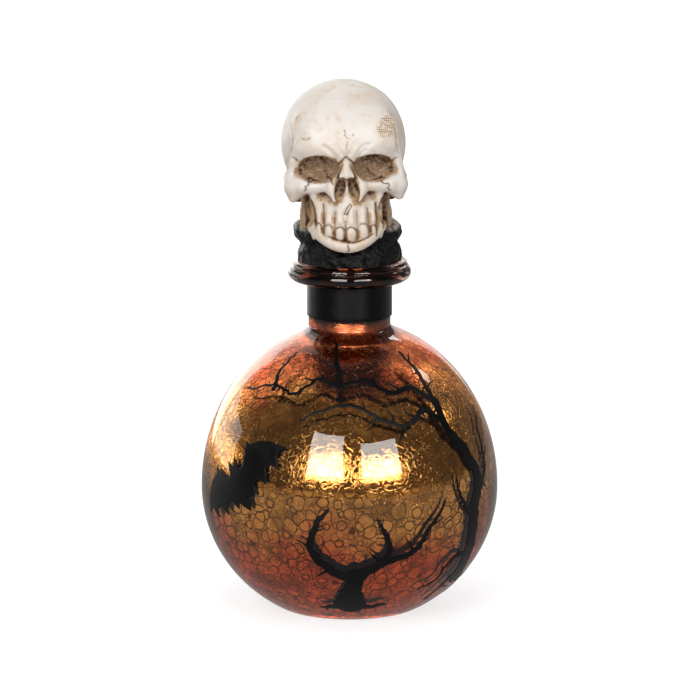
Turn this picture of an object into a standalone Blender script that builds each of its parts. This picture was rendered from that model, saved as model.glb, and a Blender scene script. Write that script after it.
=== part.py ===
"""Round glass bottle with a skull stopper.

A globe of blown glass stands on a small foot ring. Its short neck wears a satin ribbon and ends in a lip of two
beads. The stopper is a cast skull on a black collar, with a tapered cork under the collar that fits the neck.

Lengths are in metres. The origin is the centre of the foot, +Z is up and the face looks along -Y.
"""

import math

import bmesh
import bpy
from mathutils import Matrix, Vector

MM = 0.001

# Clearances and fineness
SEAT_GAP = 0.3 * MM
CUT_OVERRUN = 10.0 * MM
TURN_STEPS = 48
CORK_STEPS = 36

# Glass bottle
GLOBE_RADIUS = 63.5 * MM
GLOBE_WIDEST_HEIGHT = 52.4 * MM
SHOULDER_RISE = 71.5 * MM
FOOT_RADIUS = 30.0 * MM
FOOT_LAND_WIDTH = 5.0 * MM
FOOT_PUSH_UP = 2.5 * MM
GLASS_WALL = 2.5 * MM
SHOULDER_WALL = 11.4 * MM
CAVITY_LIFT = 4.6 * MM
NECK_RADIUS = 17.5 * MM
NECK_FLARE = 5.0 * MM
NECK_FLARE_RISE = 1.5 * MM
NECK_LENGTH = 19.6 * MM
LOWER_BEAD_RADIUS = 26.2 * MM
LOWER_BEAD_HEIGHT = 6.8 * MM
UPPER_BEAD_RADIUS = 24.8 * MM
UPPER_BEAD_HEIGHT = 3.6 * MM
BEAD_OVERLAP = 2.0 * MM
MOUTH_ROUNDING = 1.2 * MM

# Ribbon
RIBBON_THICKNESS = 0.35 * MM
BARE_NECK_LENGTH = 4.2 * MM
RIBBON_EDGE_GAP = 0.4 * MM
RIBBON_LAP = 9.0 * MM
RIBBON_RISE_LENGTH = 5.0 * MM
RIBBON_STEPS = 72

# Cork
CORK_REACH = 24.0 * MM
CORK_TAPER = 1.2 * MM
CORK_CHAMFER = 0.8 * MM
CORK_RECESS_DEPTH = 5.0 * MM

# Collar
COLLAR_HEIGHT = 17.0 * MM
COLLAR_BASE_RADIUS = 22.1 * MM
COLLAR_WAIST_RADIUS = 20.8 * MM
COLLAR_FLANGE_RADIUS = 22.9 * MM
COLLAR_TOP_RADIUS = 20.0 * MM
COLLAR_TOP_SHIFT = -1.2 * MM
COLLAR_FOLD_DEPTH = 0.5 * MM
COLLAR_FOLDS = 7

# Skull, measured from the collar's top
SKULL_HALF_WIDTH = 26.5 * MM
SKULL_HALF_DEPTH = 30.0 * MM
SKULL_CROWN_HEIGHT = 59.5 * MM
SKULL_SET_OFF = -1.7 * MM
SKULL_LEAN = math.radians(-1.3)
SKULL_YAW = math.radians(2.0)
SKULL_ROUGH_CELL = 1.0 * MM
SKULL_CELL = 0.8 * MM
SKULL_KEPT_SHARE = 0.085

# Lumps of the skull: centre, radii, turn about Y in degrees, and whether it has a twin on the other side.
# Widths are shares of SKULL_HALF_WIDTH, depths of SKULL_HALF_DEPTH and heights of SKULL_CROWN_HEIGHT.
skull_lump_shares = {
    "cranium": ((0.0, 0.17, 0.546), (1.0, 1.0, 0.454), 0, False),
    "side_boss": ((0.28, 0.17, 0.655), (0.60, 0.77, 0.305), 0, True),
    "forehead": ((0.0, -0.30, 0.62), (0.81, 0.65, 0.295), 0, False),
    "forehead_corner": ((0.47, -0.43, 0.64), (0.365, 0.45, 0.22), 0, True),
    "skull_base": ((0.0, 0.20, 0.235), (0.68, 0.73, 0.25), 0, False),
    "middle_face": ((0.0, -0.30, 0.335), (0.60, 0.47, 0.235), 0, False),
    "throat": ((0.0, -0.13, 0.085), (0.68, 0.43, 0.185), 0, False),
    "ear_knob": ((0.76, 0.20, 0.22), (0.13, 0.17, 0.10), 0, True),
    "temple_crest": ((0.735, -0.50, 0.60), (0.095, 0.15, 0.17), 0, True),
    "brow_middle": ((0.0, -0.865, 0.57), (0.21, 0.10, 0.076), 0, False),
    "cheekbone": ((0.775, -0.58, 0.31), (0.215, 0.19, 0.091), 0, True),
    "upper_jaw": ((0.0, -0.475, 0.16), (0.575, 0.49, 0.215), 0, False),
    "jaw_middle": ((0.0, -0.485, -0.03), (0.585, 0.495, 0.09), 0, False),
    "tooth_bed": ((0.0, -0.48, 0.042), (0.565, 0.525, 0.143), 0, False),
    "nose_floor": ((0.0, -0.735, 0.32), (0.20, 0.215, 0.12), 0, False),
}

# Bars of the skull: two ends, the radius at each as a share of SKULL_HALF_WIDTH, how much deeper than wide the bar
# is, and whether it has a twin
skull_bar_shares = {
    "brow": ((0.15, -0.865, 0.575), (0.68, -0.70, 0.595), 0.12, 0.09, 1.0, True),
    "eye_side": ((0.79, -0.65, 0.605), (0.88, -0.55, 0.37), 0.06, 0.09, 1.0, True),
    "eye_sill": ((0.23, -0.87, 0.33), (0.68, -0.73, 0.32), 0.09, 0.12, 1.0, True),
    "cheek_corner": ((0.85, -0.62, 0.29), (0.85, -0.61, 0.225), 0.10, 0.07, 1.0, True),
    "cheek_arch": ((0.88, -0.43, 0.325), (0.90, 0.10, 0.31), 0.10, 0.085, 1.0, True),
    "nose_side": ((0.12, -0.84, 0.49), (0.25, -0.93, 0.30), 0.05, 0.075, 1.0, True),
    "nose_rim": ((0.235, -0.95, 0.32), (0.165, -1.0, 0.22), 0.055, 0.055, 1.0, True),
    "nose_bone": ((0.0, -0.87, 0.52), (0.0, -1.0, 0.42), 0.065, 0.085, 1.0, False),
    "jaw_branch": ((0.655, -0.33, -0.015), (0.685, -0.15, 0.20), 0.075, 0.075, 2.2, True),
}

# Hollows of the skull, in the lumps' shares
skull_hollow_shares = {
    "eye": ((0.465, -0.87, 0.464), (0.365, 0.47, 0.108), 5, True),
    "nose": ((0.102, -1.03, 0.314), (0.085, 0.20, 0.084), -14, True),
    "cheek": ((0.635, -0.80, 0.128), (0.128, 0.33, 0.11), 0, True),
    "temple": ((1.035, -0.42, 0.57), (0.18, 0.27, 0.20), 0, True),
    "under_arch": ((0.87, -0.27, 0.17), (0.17, 0.30, 0.094), 0, True),
}

# Teeth: how far each stands from the middle and how wide it is, as shares of SKULL_HALF_WIDTH
tooth_shares = ((0.092, 0.086), (0.272, 0.084), (0.426, 0.072), (0.536, 0.057))
tooth_arch_shares = (0.596, 0.53)
TOOTH_CROWN_HEIGHT = 4.4 * MM
TOOTH_CROWN_DEPTH = 2.0 * MM
TOOTH_ROOT_HEIGHT = 12.0 * MM
TOOTH_ROOT_RADIUS = 1.5 * MM
TOOTH_ROOT_TIP_RADIUS = 1.2 * MM
TOOTH_BED_INSET = 1.1 * MM

# Lower jaw: a bar bent round the front of the tooth row
JAW_HALF_WIDTH = 17.2 * MM
JAW_DEPTH = 18.6 * MM
JAW_CENTRE_BACK = 10.5 * MM
JAW_RADIUS = 2.6 * MM
JAW_DROP = 6.1 * MM
JAW_END_RISE = 6.2 * MM
JAW_SPAN = math.radians(78)
JAW_STEPS = 10


def clear_objects():
    for thing in list(bpy.data.objects):
        bpy.data.objects.remove(thing, do_unlink=True)


def finish(name, colour, roughness, metallic=0.0, transmission=0.0):
    material = bpy.data.materials.new(name)
    material.use_nodes = True
    shader = material.node_tree.nodes["Principled BSDF"]
    shader.inputs["Base Color"].default_value = (*colour, 1.0)
    shader.inputs["Roughness"].default_value = roughness
    shader.inputs["Metallic"].default_value = metallic
    shader.inputs["Transmission Weight"].default_value = transmission
    return material


def add_object(name, mesh, material=None, parent=None, place=(0, 0, 0)):
    thing = bpy.data.objects.new(name, mesh)
    bpy.context.collection.objects.link(thing)
    thing.parent = parent
    thing.location = place
    if material:
        mesh.materials.append(material)
    return thing


def add_guide(name, mesh, parent=None, place=(0, 0, 0)):
    guide = add_object(name, mesh, parent=parent, place=place)
    guide.hide_render = True
    guide.display_type = "WIRE"
    return guide


def mesh_from(shape, name, sharp_angle=math.radians(40)):
    bmesh.ops.recalc_face_normals(shape, faces=shape.faces)
    mesh = bpy.data.meshes.new(name)
    shape.to_mesh(mesh)
    shape.free()
    mesh.shade_smooth()
    mesh.set_sharp_from_angle(angle=sharp_angle)
    return mesh


def turned_shape(outline, steps):
    """A closed body turned about Z from an outline of (radius, height) that starts and ends on the axis."""
    shape = bmesh.new()
    rings = []
    for radius, height in outline:
        if radius == 0:
            rings.append([shape.verts.new((0, 0, height))])
            continue
        ring = []
        for step in range(steps):
            angle = math.tau * step / steps
            ring.append(shape.verts.new((radius * math.cos(angle), radius * math.sin(angle), height)))
        rings.append(ring)
    for lower, upper in zip(rings, rings[1:]):
        for step in range(steps):
            here, after = step, (step + 1) % steps
            if len(lower) == 1:
                shape.faces.new((lower[0], upper[here], upper[after]))
            elif len(upper) == 1:
                shape.faces.new((lower[here], lower[after], upper[0]))
            else:
                shape.faces.new((lower[here], lower[after], upper[after], upper[here]))
    return shape


# Glass bottle


def belly_drop():
    """Half height of the globe's lower half, so that it meets the foot at FOOT_RADIUS."""
    return GLOBE_WIDEST_HEIGHT / math.sqrt(1 - (FOOT_RADIUS / GLOBE_RADIUS) ** 2)


def globe_sizes():
    """Outside of the globe: radius, height of its widest ring, drop below it, rise above it and neck radius."""
    return GLOBE_RADIUS, GLOBE_WIDEST_HEIGHT, belly_drop(), SHOULDER_RISE, NECK_RADIUS


def cavity_sizes():
    """The cavity in the same order; it is widest a little higher, and low under the thick glass of the shoulder."""
    radius = GLOBE_RADIUS - GLASS_WALL
    widest = GLOBE_WIDEST_HEIGHT + CAVITY_LIFT
    drop = belly_drop() + CAVITY_LIFT - GLASS_WALL
    return radius, widest, drop, SHOULDER_RISE - CAVITY_LIFT - SHOULDER_WALL, bore_radius()


def belly_points(sizes, floor, steps):
    """The lower half from the floor up to the widest ring."""
    radius, widest, drop = sizes[:3]
    start = math.asin((widest - floor) / drop)
    points = []
    for step in range(steps):
        angle = start * (1 - step / steps)
        points.append((radius * math.cos(angle), widest - drop * math.sin(angle)))
    return points


def neck_flare(sizes):
    """Start, corner and end of the curve that leads from the shoulder into the neck."""
    radius, widest, _, rise, neck = sizes
    start = neck + NECK_FLARE
    fall = math.sqrt(1 - (start / radius) ** 2)
    height = widest + rise * fall
    slope = rise / radius * (start / radius) / fall
    corner = height + NECK_FLARE * slope
    return (start, height), (neck, corner), (neck, corner + NECK_FLARE_RISE)


def shoulder_points(sizes, steps, flare_steps):
    """The upper half from the widest ring to the foot of the straight neck."""
    radius, widest, _, rise, _ = sizes
    start, corner, end = (Vector(point) for point in neck_flare(sizes))
    last = math.acos(start.x / radius)
    points = []
    for step in range(steps):
        angle = last * step / steps
        points.append((radius * math.cos(angle), widest + rise * math.sin(angle)))
    for step in range(flare_steps + 1):
        share = step / flare_steps
        points.append(tuple(start.lerp(corner, share).lerp(corner.lerp(end, share), share)))
    return points


def bead_reach(height, radius, tall, base):
    """How far a round bead reaches out at a height; above and below itself it is only its core."""
    rounding = tall / 2
    away = height - base - rounding
    return radius - rounding + math.sqrt(max(rounding**2 - away**2, 0))


def lip_points(steps):
    """The lip's outer side from its underside to its top: a bead with a smaller one sunk into it."""
    upper_base = mouth_height() - UPPER_BEAD_HEIGHT
    points = []
    for step in range(steps + 1):
        share = (1 - math.cos(math.pi * step / steps)) / 2
        height = neck_top_height() + (mouth_height() - neck_top_height()) * share
        lower = bead_reach(height, LOWER_BEAD_RADIUS, LOWER_BEAD_HEIGHT, neck_top_height())
        upper = bead_reach(height, UPPER_BEAD_RADIUS, UPPER_BEAD_HEIGHT, upper_base)
        points.append((max(lower, upper), height))
    return points


def neck_foot_height():
    return neck_flare(globe_sizes())[2][1]


def neck_top_height():
    return neck_foot_height() + NECK_LENGTH


def mouth_height():
    return neck_top_height() + LOWER_BEAD_HEIGHT + UPPER_BEAD_HEIGHT - BEAD_OVERLAP


def bore_radius():
    return NECK_RADIUS - GLASS_WALL


def foot_points(lift):
    """The pushed-up middle of the foot, from the axis to the land's inner edge."""
    land = FOOT_RADIUS - FOOT_LAND_WIDTH
    return [(land * share, FOOT_PUSH_UP * (1 - share**2) + lift) for share in (0, 0.5, 1)]


def bottle_outline():
    outside = foot_points(0)
    outside += belly_points(globe_sizes(), 0, 8)
    outside += shoulder_points(globe_sizes(), 8, 5)
    outside.append((NECK_RADIUS, neck_top_height()))
    outside += lip_points(10)
    mouth = [(bore_radius() + MOUTH_ROUNDING, mouth_height()), (bore_radius(), mouth_height() - MOUTH_ROUNDING)]
    inside = foot_points(GLASS_WALL)
    inside += belly_points(cavity_sizes(), GLASS_WALL, 8)
    inside += shoulder_points(cavity_sizes(), 8, 4)
    return outside + mouth + inside[::-1]


def make_bottle():
    glass = finish("amber_coated_glass", (0.45, 0.16, 0.07), 0.08, transmission=0.6)
    mesh = mesh_from(turned_shape(bottle_outline(), TURN_STEPS), "glass_bottle")
    return add_object("glass_bottle", mesh, glass)


# Ribbon


def ribbon_radius(travel, inner, around):
    """Radius of the strip's inner face: it climbs onto its own start just before the full turn."""
    climb = min(max((travel - (around - RIBBON_RISE_LENGTH)) / RIBBON_RISE_LENGTH, 0), 1)
    eased = climb * climb * (3 - 2 * climb)
    return inner + eased * (RIBBON_THICKNESS + SEAT_GAP)


def make_ribbon():
    """One strip round the neck whose end laps over its start at the back."""
    satin = finish("black_satin", (0.012, 0.011, 0.012), 0.35)
    inner = NECK_RADIUS + SEAT_GAP
    around = math.tau * inner
    low = neck_foot_height() + BARE_NECK_LENGTH
    high = neck_top_height() - RIBBON_EDGE_GAP
    shape = bmesh.new()
    sections = []
    for step in range(RIBBON_STEPS + 1):
        travel = (around + RIBBON_LAP) * step / RIBBON_STEPS
        angle = math.pi / 2 + travel / inner
        near = ribbon_radius(travel, inner, around)
        section = []
        for radius, height in ((near, low), (near + RIBBON_THICKNESS, low),
                               (near + RIBBON_THICKNESS, high), (near, high)):
            section.append(shape.verts.new((radius * math.cos(angle), radius * math.sin(angle), height)))
        sections.append(section)
    for before, after in zip(sections, sections[1:]):
        for side in range(4):
            following = (side + 1) % 4
            shape.faces.new((before[side], before[following], after[following], after[side]))
    shape.faces.new(sections[0])
    shape.faces.new(sections[-1])
    return add_object("neck_ribbon", mesh_from(shape, "neck_ribbon"), satin)


# Cork


def cork_radius():
    return bore_radius() - SEAT_GAP


def make_cork(parent):
    """Tapered plug, widest where it leaves the mouth, glued in the collar's recess."""
    cork = finish("cork", (0.50, 0.33, 0.18), 0.85)
    wide, narrow = cork_radius(), cork_radius() - CORK_TAPER
    outline = [
        (0, -CORK_REACH),
        (narrow - CORK_CHAMFER, -CORK_REACH),
        (narrow, -CORK_REACH + CORK_CHAMFER),
        (wide, 0),
        (wide, CORK_RECESS_DEPTH),
        (0, CORK_RECESS_DEPTH),
    ]
    mesh = mesh_from(turned_shape(outline, CORK_STEPS), "cork")
    return add_object("cork", mesh, cork, parent)


# Collar


def collar_side(extra):
    """The collar's outer side from base to top, grown outwards by extra."""
    side_shares = (
        (COLLAR_BASE_RADIUS, 0.0),
        (COLLAR_BASE_RADIUS, 0.26),
        (COLLAR_WAIST_RADIUS, 0.46),
        (COLLAR_FLANGE_RADIUS, 0.66),
        (COLLAR_FLANGE_RADIUS, 0.87),
    )
    return [(radius + extra, COLLAR_HEIGHT * share) for radius, share in side_shares]


def collar_outline():
    recess = cork_radius() + SEAT_GAP
    return [
        (0, CORK_RECESS_DEPTH),
        (recess, CORK_RECESS_DEPTH),
        (recess, 0),
        *collar_side(0),
        (COLLAR_TOP_RADIUS, COLLAR_HEIGHT),
        (0, COLLAR_HEIGHT),
    ]


def lean_collar(shape):
    """Shifts the collar sideways, more and more above the cork's recess."""
    for vert in shape.verts:
        rise = (vert.co.z - CORK_RECESS_DEPTH) / (COLLAR_HEIGHT - CORK_RECESS_DEPTH)
        vert.co.x += COLLAR_TOP_SHIFT * max(rise, 0)


def make_collar(parent):
    """Black collar with shallow modelled folds on its side."""
    black = finish("black_paint", (0.02, 0.02, 0.021), 0.55)
    shape = turned_shape(collar_outline(), TURN_STEPS)
    inner_limit = (COLLAR_WAIST_RADIUS + cork_radius()) / 2
    for vert in shape.verts:
        radius = math.hypot(vert.co.x, vert.co.y)
        if radius < inner_limit:
            continue
        angle = math.atan2(vert.co.y, vert.co.x)
        rise = vert.co.z / COLLAR_HEIGHT
        fold = math.sin(COLLAR_FOLDS * angle + math.pi * rise) * math.sin(math.pi * rise)
        grown = 1 + fold * COLLAR_FOLD_DEPTH / radius
        vert.co.x *= grown
        vert.co.y *= grown
    lean_collar(shape)
    return add_object("skull_collar", mesh_from(shape, "skull_collar"), black, parent, (0, 0, SEAT_GAP))


def add_collar_space(parent):
    """The room that the skull leaves for the collar, with its clearance."""
    side = collar_side(COLLAR_FOLD_DEPTH + SEAT_GAP)
    top = COLLAR_HEIGHT + SEAT_GAP
    rim = COLLAR_TOP_RADIUS + COLLAR_FOLD_DEPTH + SEAT_GAP
    outline = [(0, -CUT_OVERRUN), (side[0][0], -CUT_OVERRUN), *side, (rim, top), (0, top)]
    shape = turned_shape(outline, TURN_STEPS)
    lean_collar(shape)
    return add_guide("collar_space", mesh_from(shape, "collar_space"), parent, (0, 0, SEAT_GAP))


# Skull


def add_ellipsoid(shape, centre, radii, turn_degrees=0, fineness=4):
    place = Matrix.Translation(Vector(centre))
    turn = Matrix.Rotation(math.radians(turn_degrees), 4, "Y")
    size = Matrix.Diagonal((*radii, 1))
    bmesh.ops.create_icosphere(shape, subdivisions=fineness, radius=1, matrix=place @ turn @ size)


def add_bar(shape, start, end, start_radius, end_radius, depth_stretch=1.0, steps=8):
    """A tapered bar with round ends, as a row of overlapping balls."""
    start, end = Vector(start), Vector(end)
    for step in range(steps + 1):
        share = step / steps
        radius = start_radius + (end_radius - start_radius) * share
        add_ellipsoid(shape, start.lerp(end, share), (radius, radius * depth_stretch, radius), fineness=2)


def skull_sized(shares):
    sizes = (SKULL_HALF_WIDTH, SKULL_HALF_DEPTH, SKULL_CROWN_HEIGHT)
    return [share * size for share, size in zip(shares, sizes)]


def mirrored(place):
    return (-place[0], *place[1:])


def add_lumps(shape, table):
    for centre_shares, radius_shares, turn, twin in table.values():
        centre, radii = skull_sized(centre_shares), skull_sized(radius_shares)
        add_ellipsoid(shape, centre, radii, turn)
        if twin:
            add_ellipsoid(shape, mirrored(centre), radii, -turn)


def add_bars(shape):
    for start_shares, end_shares, start_share, end_share, stretch, twin in skull_bar_shares.values():
        start, end = skull_sized(start_shares), skull_sized(end_shares)
        radii = (start_share * SKULL_HALF_WIDTH, end_share * SKULL_HALF_WIDTH)
        add_bar(shape, start, end, *radii, stretch)
        if twin:
            add_bar(shape, mirrored(start), mirrored(end), *radii, stretch)


def add_teeth(shape):
    """Crowns and long roots that stand out of the tooth bed along its front."""
    arch_width, arch_depth = tooth_arch_shares[0] * SKULL_HALF_WIDTH, tooth_arch_shares[1] * SKULL_HALF_DEPTH
    bed = skull_sized(skull_lump_shares["tooth_bed"][0])
    for place_share, width_share in tooth_shares:
        across = place_share * SKULL_HALF_WIDTH
        front = bed[1] - arch_depth * math.sqrt(1 - (across / arch_width) ** 2) + TOOTH_BED_INSET
        crown = (width_share * SKULL_HALF_WIDTH, TOOTH_CROWN_DEPTH, TOOTH_CROWN_HEIGHT)
        for side in (-1, 1):
            foot = (side * across, front, TOOTH_CROWN_HEIGHT)
            root = (side * across, front, TOOTH_ROOT_HEIGHT)
            add_bar(shape, foot, root, TOOTH_ROOT_RADIUS, TOOTH_ROOT_TIP_RADIUS)
            add_ellipsoid(shape, (side * across, front, 0), crown, fineness=3)


def jaw_point(angle):
    across = JAW_HALF_WIDTH * math.sin(angle)
    back = -JAW_CENTRE_BACK - JAW_DEPTH * math.cos(angle)
    return (across, back, JAW_END_RISE * math.sin(angle) ** 2 - JAW_DROP)


def add_lower_jaw(shape):
    points = [jaw_point(JAW_SPAN * (2 * step / JAW_STEPS - 1)) for step in range(JAW_STEPS + 1)]
    for start, end in zip(points, points[1:]):
        add_bar(shape, start, end, JAW_RADIUS, JAW_RADIUS, steps=3)


def add_remesh(thing, name, cell):
    remesh = thing.modifiers.new(name, "REMESH")
    remesh.mode = "VOXEL"
    remesh.voxel_size = cell
    remesh.use_smooth_shade = True


def add_cut(thing, name, cutter):
    cut = thing.modifiers.new(name, "BOOLEAN")
    cut.operation = "DIFFERENCE"
    cut.solver = "EXACT"
    cut.object = cutter


def make_skull(parent, collar_space):
    """Lumps melted together, hollowed, smoothed and thinned out, then cut to sit on the collar."""
    bone = finish("aged_ivory", (0.76, 0.68, 0.56), 0.6)
    lumps = bmesh.new()
    add_lumps(lumps, skull_lump_shares)
    add_bars(lumps)
    add_teeth(lumps)
    add_lower_jaw(lumps)
    datum = (SKULL_SET_OFF, 0, SEAT_GAP + COLLAR_HEIGHT)
    skull = add_object("skull", mesh_from(lumps, "skull"), bone, parent, datum)
    hollows = bmesh.new()
    add_lumps(hollows, skull_hollow_shares)
    hollow_guide = add_guide("skull_hollows", mesh_from(hollows, "skull_hollows"), parent, datum)
    for leaning in (skull, hollow_guide):
        leaning.rotation_euler = (0, SKULL_LEAN, SKULL_YAW)
    add_remesh(skull, "melt_lumps", SKULL_ROUGH_CELL)
    add_cut(skull, "hollow_out", hollow_guide)
    add_remesh(skull, "even_out", SKULL_CELL)
    soften = skull.modifiers.new("soften", "SMOOTH")
    soften.factor = 0.5
    soften.iterations = 4
    thin_out = skull.modifiers.new("thin_out", "DECIMATE")
    thin_out.ratio = SKULL_KEPT_SHARE
    add_cut(skull, "seat_on_collar", collar_space)
    return skull


def make_stopper():
    """Skull, collar and cork, hung from an empty at the centre of the bottle's mouth."""
    axis = bpy.data.objects.new("stopper_axis", None)
    bpy.context.collection.objects.link(axis)
    axis.location = (0, 0, mouth_height())
    make_cork(axis)
    make_collar(axis)
    make_skull(axis, add_collar_space(axis))


clear_objects()
make_bottle()
make_ribbon()
make_stopper()
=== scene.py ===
"""Looks of a round glass bottle with a skull stopper.

Every piece is made in metres in the frame of the solid part: the origin is the centre of the foot, +Z is up
and the face looks along -Y.
"""

import math

import bpy
import numpy as np
from mathutils import Matrix, Vector


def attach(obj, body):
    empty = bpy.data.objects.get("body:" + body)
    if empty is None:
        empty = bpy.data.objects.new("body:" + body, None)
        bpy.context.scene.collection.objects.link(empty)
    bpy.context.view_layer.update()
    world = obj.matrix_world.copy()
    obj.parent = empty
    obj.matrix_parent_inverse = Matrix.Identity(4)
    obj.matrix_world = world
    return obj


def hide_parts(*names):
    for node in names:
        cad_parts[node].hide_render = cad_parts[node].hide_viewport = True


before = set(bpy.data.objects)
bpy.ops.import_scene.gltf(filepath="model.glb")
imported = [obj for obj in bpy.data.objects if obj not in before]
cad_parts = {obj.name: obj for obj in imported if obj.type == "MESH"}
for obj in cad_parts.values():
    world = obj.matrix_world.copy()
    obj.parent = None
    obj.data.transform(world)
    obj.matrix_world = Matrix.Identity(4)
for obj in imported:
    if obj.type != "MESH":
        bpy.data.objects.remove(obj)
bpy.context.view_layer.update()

MM = 0.001

# Photograph
IMAGE_SIDE = 700
PIXEL_SIZE = 0.4276 * MM
VIEW_ELEVATION = math.radians(12.2)
VIEW_DISTANCE = 3.0
VIEW_AIM = (0.2 * MM, 0, 111.3 * MM)
SENSOR_SIDE = 36.0 * MM

# Glass bottle
GLOBE_RADIUS = 63.5 * MM
GLOBE_WIDEST_HEIGHT = 52.4 * MM
SHOULDER_RISE = 71.5 * MM
FOOT_RADIUS = 30.0 * MM
FOOT_LAND_WIDTH = 5.0 * MM
FOOT_PUSH_UP = 2.5 * MM
GLASS_WALL = 2.5 * MM
SHOULDER_WALL = 11.4 * MM
CAVITY_LIFT = 4.6 * MM
COATING_THICKNESS = 0.8 * MM
COATING_OVERLAP = 0.05 * MM
NECK_RADIUS = 17.5 * MM
NECK_FLARE = 5.0 * MM
NECK_FLARE_RISE = 1.5 * MM
NECK_LENGTH = 19.6 * MM
LOWER_BEAD_RADIUS = 26.2 * MM
LOWER_BEAD_HEIGHT = 6.8 * MM
UPPER_BEAD_RADIUS = 24.8 * MM
UPPER_BEAD_HEIGHT = 3.6 * MM
BEAD_OVERLAP = 2.0 * MM
MOUTH_ROUNDING = 1.2 * MM
GLASS_STEPS = 192

# Prints on the glass
PRINT_CELL = 0.6 * MM
PRINT_LIFT = 0.04 * MM
PRINT_THICKNESS = 0.06 * MM
PRINT_GAP = 1.0 * MM
BAT_HALF_SPAN = 30.0 * MM
BAT_HEIGHT = 62.0 * MM
BAT_AZIMUTH = math.radians(-48)
BAT_TILT = math.radians(38)
PRINT_SETS = 2

# Ribbon
RIBBON_THICKNESS = 0.35 * MM
BARE_NECK_LENGTH = 4.2 * MM
RIBBON_EDGE_GAP = 0.4 * MM
RIBBON_LAP = 9.0 * MM
RIBBON_RISE_LENGTH = 5.0 * MM
RIB_PITCH = 1.0 * MM
RIB_DEPTH = 0.03 * MM
PICOT_DEPTH = 0.25 * MM
SEAT_GAP = 0.3 * MM

# Collar
COLLAR_HEIGHT = 17.0 * MM
COLLAR_BASE_RADIUS = 22.1 * MM
COLLAR_WAIST_RADIUS = 20.0 * MM
COLLAR_FLANGE_RADIUS = 22.9 * MM
COLLAR_TOP_RADIUS = 20.0 * MM
COLLAR_TOP_SHIFT = -1.2 * MM
COLLAR_FOLD_DEPTH = 0.8 * MM
COLLAR_STEPS = 224
CORK_RADIUS = NECK_RADIUS - GLASS_WALL - SEAT_GAP
CORK_RECESS_DEPTH = 5.0 * MM

# Waves of the collar's folds: height, how many go round, how much they lean, and where they start
collar_wave_shares = (
    (0.40, 7, 5.0, 0.6),
    (0.30, 13, -9.0, 2.1),
    (0.22, 23, 14.0, 0.0),
    (0.20, 5, -17.0, 1.3),
    (0.14, 37, 21.0, 0.9),
)

# Skull, measured from the collar's top
SKULL_HALF_WIDTH = 26.5 * MM
SKULL_HALF_DEPTH = 30.0 * MM
SKULL_CROWN_HEIGHT = 59.5 * MM
SKULL_SET_OFF = -1.7 * MM
SKULL_LEAN = math.radians(-1.3)
SKULL_YAW = math.radians(2.0)
SKULL_CELL = 0.48 * MM
SOFT = 4.0 * MM
FIRM = 2.0 * MM
CRISP = 1.0 * MM
FIELD_REACH = 6.0 * MM
FIELD_FAR = 8.0 * MM

# Lumps: centre, radii, turn about Y in degrees, and how softly they melt in. Widths are shares of
# SKULL_HALF_WIDTH, depths of SKULL_HALF_DEPTH and heights of SKULL_CROWN_HEIGHT. What isn't in the middle
# has a twin on the other side.
skull_lump_shares = {
    "cranium": ((0.0, 0.17, 0.546), (1.0, 1.0, 0.454), 0, SOFT),
    "side_boss": ((0.28, 0.17, 0.64), (0.62, 0.77, 0.30), 0, FIRM),
    "forehead": ((0.0, -0.30, 0.62), (0.81, 0.65, 0.295), 0, SOFT),
    "forehead_corner": ((0.47, -0.43, 0.64), (0.365, 0.45, 0.22), 0, SOFT),
    "skull_base": ((0.0, 0.20, 0.235), (0.68, 0.73, 0.25), 0, SOFT),
    "middle_face": ((0.0, -0.30, 0.335), (0.60, 0.47, 0.235), 0, SOFT),
    "throat": ((0.0, -0.13, 0.085), (0.68, 0.43, 0.185), 0, SOFT),
    "ear_knob": ((0.76, 0.20, 0.22), (0.13, 0.17, 0.10), 0, SOFT),
    "temple_crest": ((0.74, -0.52, 0.60), (0.09, 0.15, 0.17), 0, SOFT),
    "brow_middle": ((0.0, -0.865, 0.57), (0.21, 0.10, 0.076), 0, FIRM),
    "cheekbone": ((0.775, -0.58, 0.31), (0.215, 0.19, 0.091), 0, FIRM),
    "upper_jaw": ((0.0, -0.475, 0.16), (0.575, 0.49, 0.215), 0, FIRM),
    "jaw_middle": ((0.0, -0.485, -0.02), (0.535, 0.495, 0.085), 0, FIRM),
    "tooth_bed": ((0.0, -0.48, 0.042), (0.565, 0.525, 0.143), 0, FIRM),
    "nose_floor": ((0.0, -0.735, 0.32), (0.20, 0.215, 0.12), 0, CRISP),
}

# Bars: two ends, the radius at each as a share of SKULL_HALF_WIDTH, how much deeper than wide, and melt
skull_bar_shares = {
    "brow": ((0.15, -0.865, 0.585), (0.70, -0.70, 0.605), 0.12, 0.10, 1.0, SOFT),
    "eye_side": ((0.79, -0.65, 0.605), (0.88, -0.55, 0.37), 0.06, 0.09, 1.0, FIRM),
    "eye_sill": ((0.23, -0.87, 0.33), (0.68, -0.73, 0.32), 0.09, 0.12, 1.0, FIRM),
    "cheek_corner": ((0.85, -0.62, 0.29), (0.85, -0.61, 0.225), 0.10, 0.07, 1.0, FIRM),
    "cheek_arch": ((0.88, -0.43, 0.325), (0.90, 0.10, 0.31), 0.10, 0.085, 1.0, FIRM),
    "nose_side": ((0.12, -0.84, 0.49), (0.25, -0.93, 0.30), 0.05, 0.075, 1.0, FIRM),
    "nose_rim": ((0.235, -0.95, 0.33), (0.19, -0.975, 0.245), 0.055, 0.05, 1.0, FIRM),
    "jaw_branch": ((0.655, -0.33, -0.015), (0.685, -0.15, 0.20), 0.075, 0.075, 2.2, FIRM),
    "cheek_column": ((0.50, -0.73, 0.29), (0.535, -0.68, 0.07), 0.085, 0.06, 1.0, FIRM),
}
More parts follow.
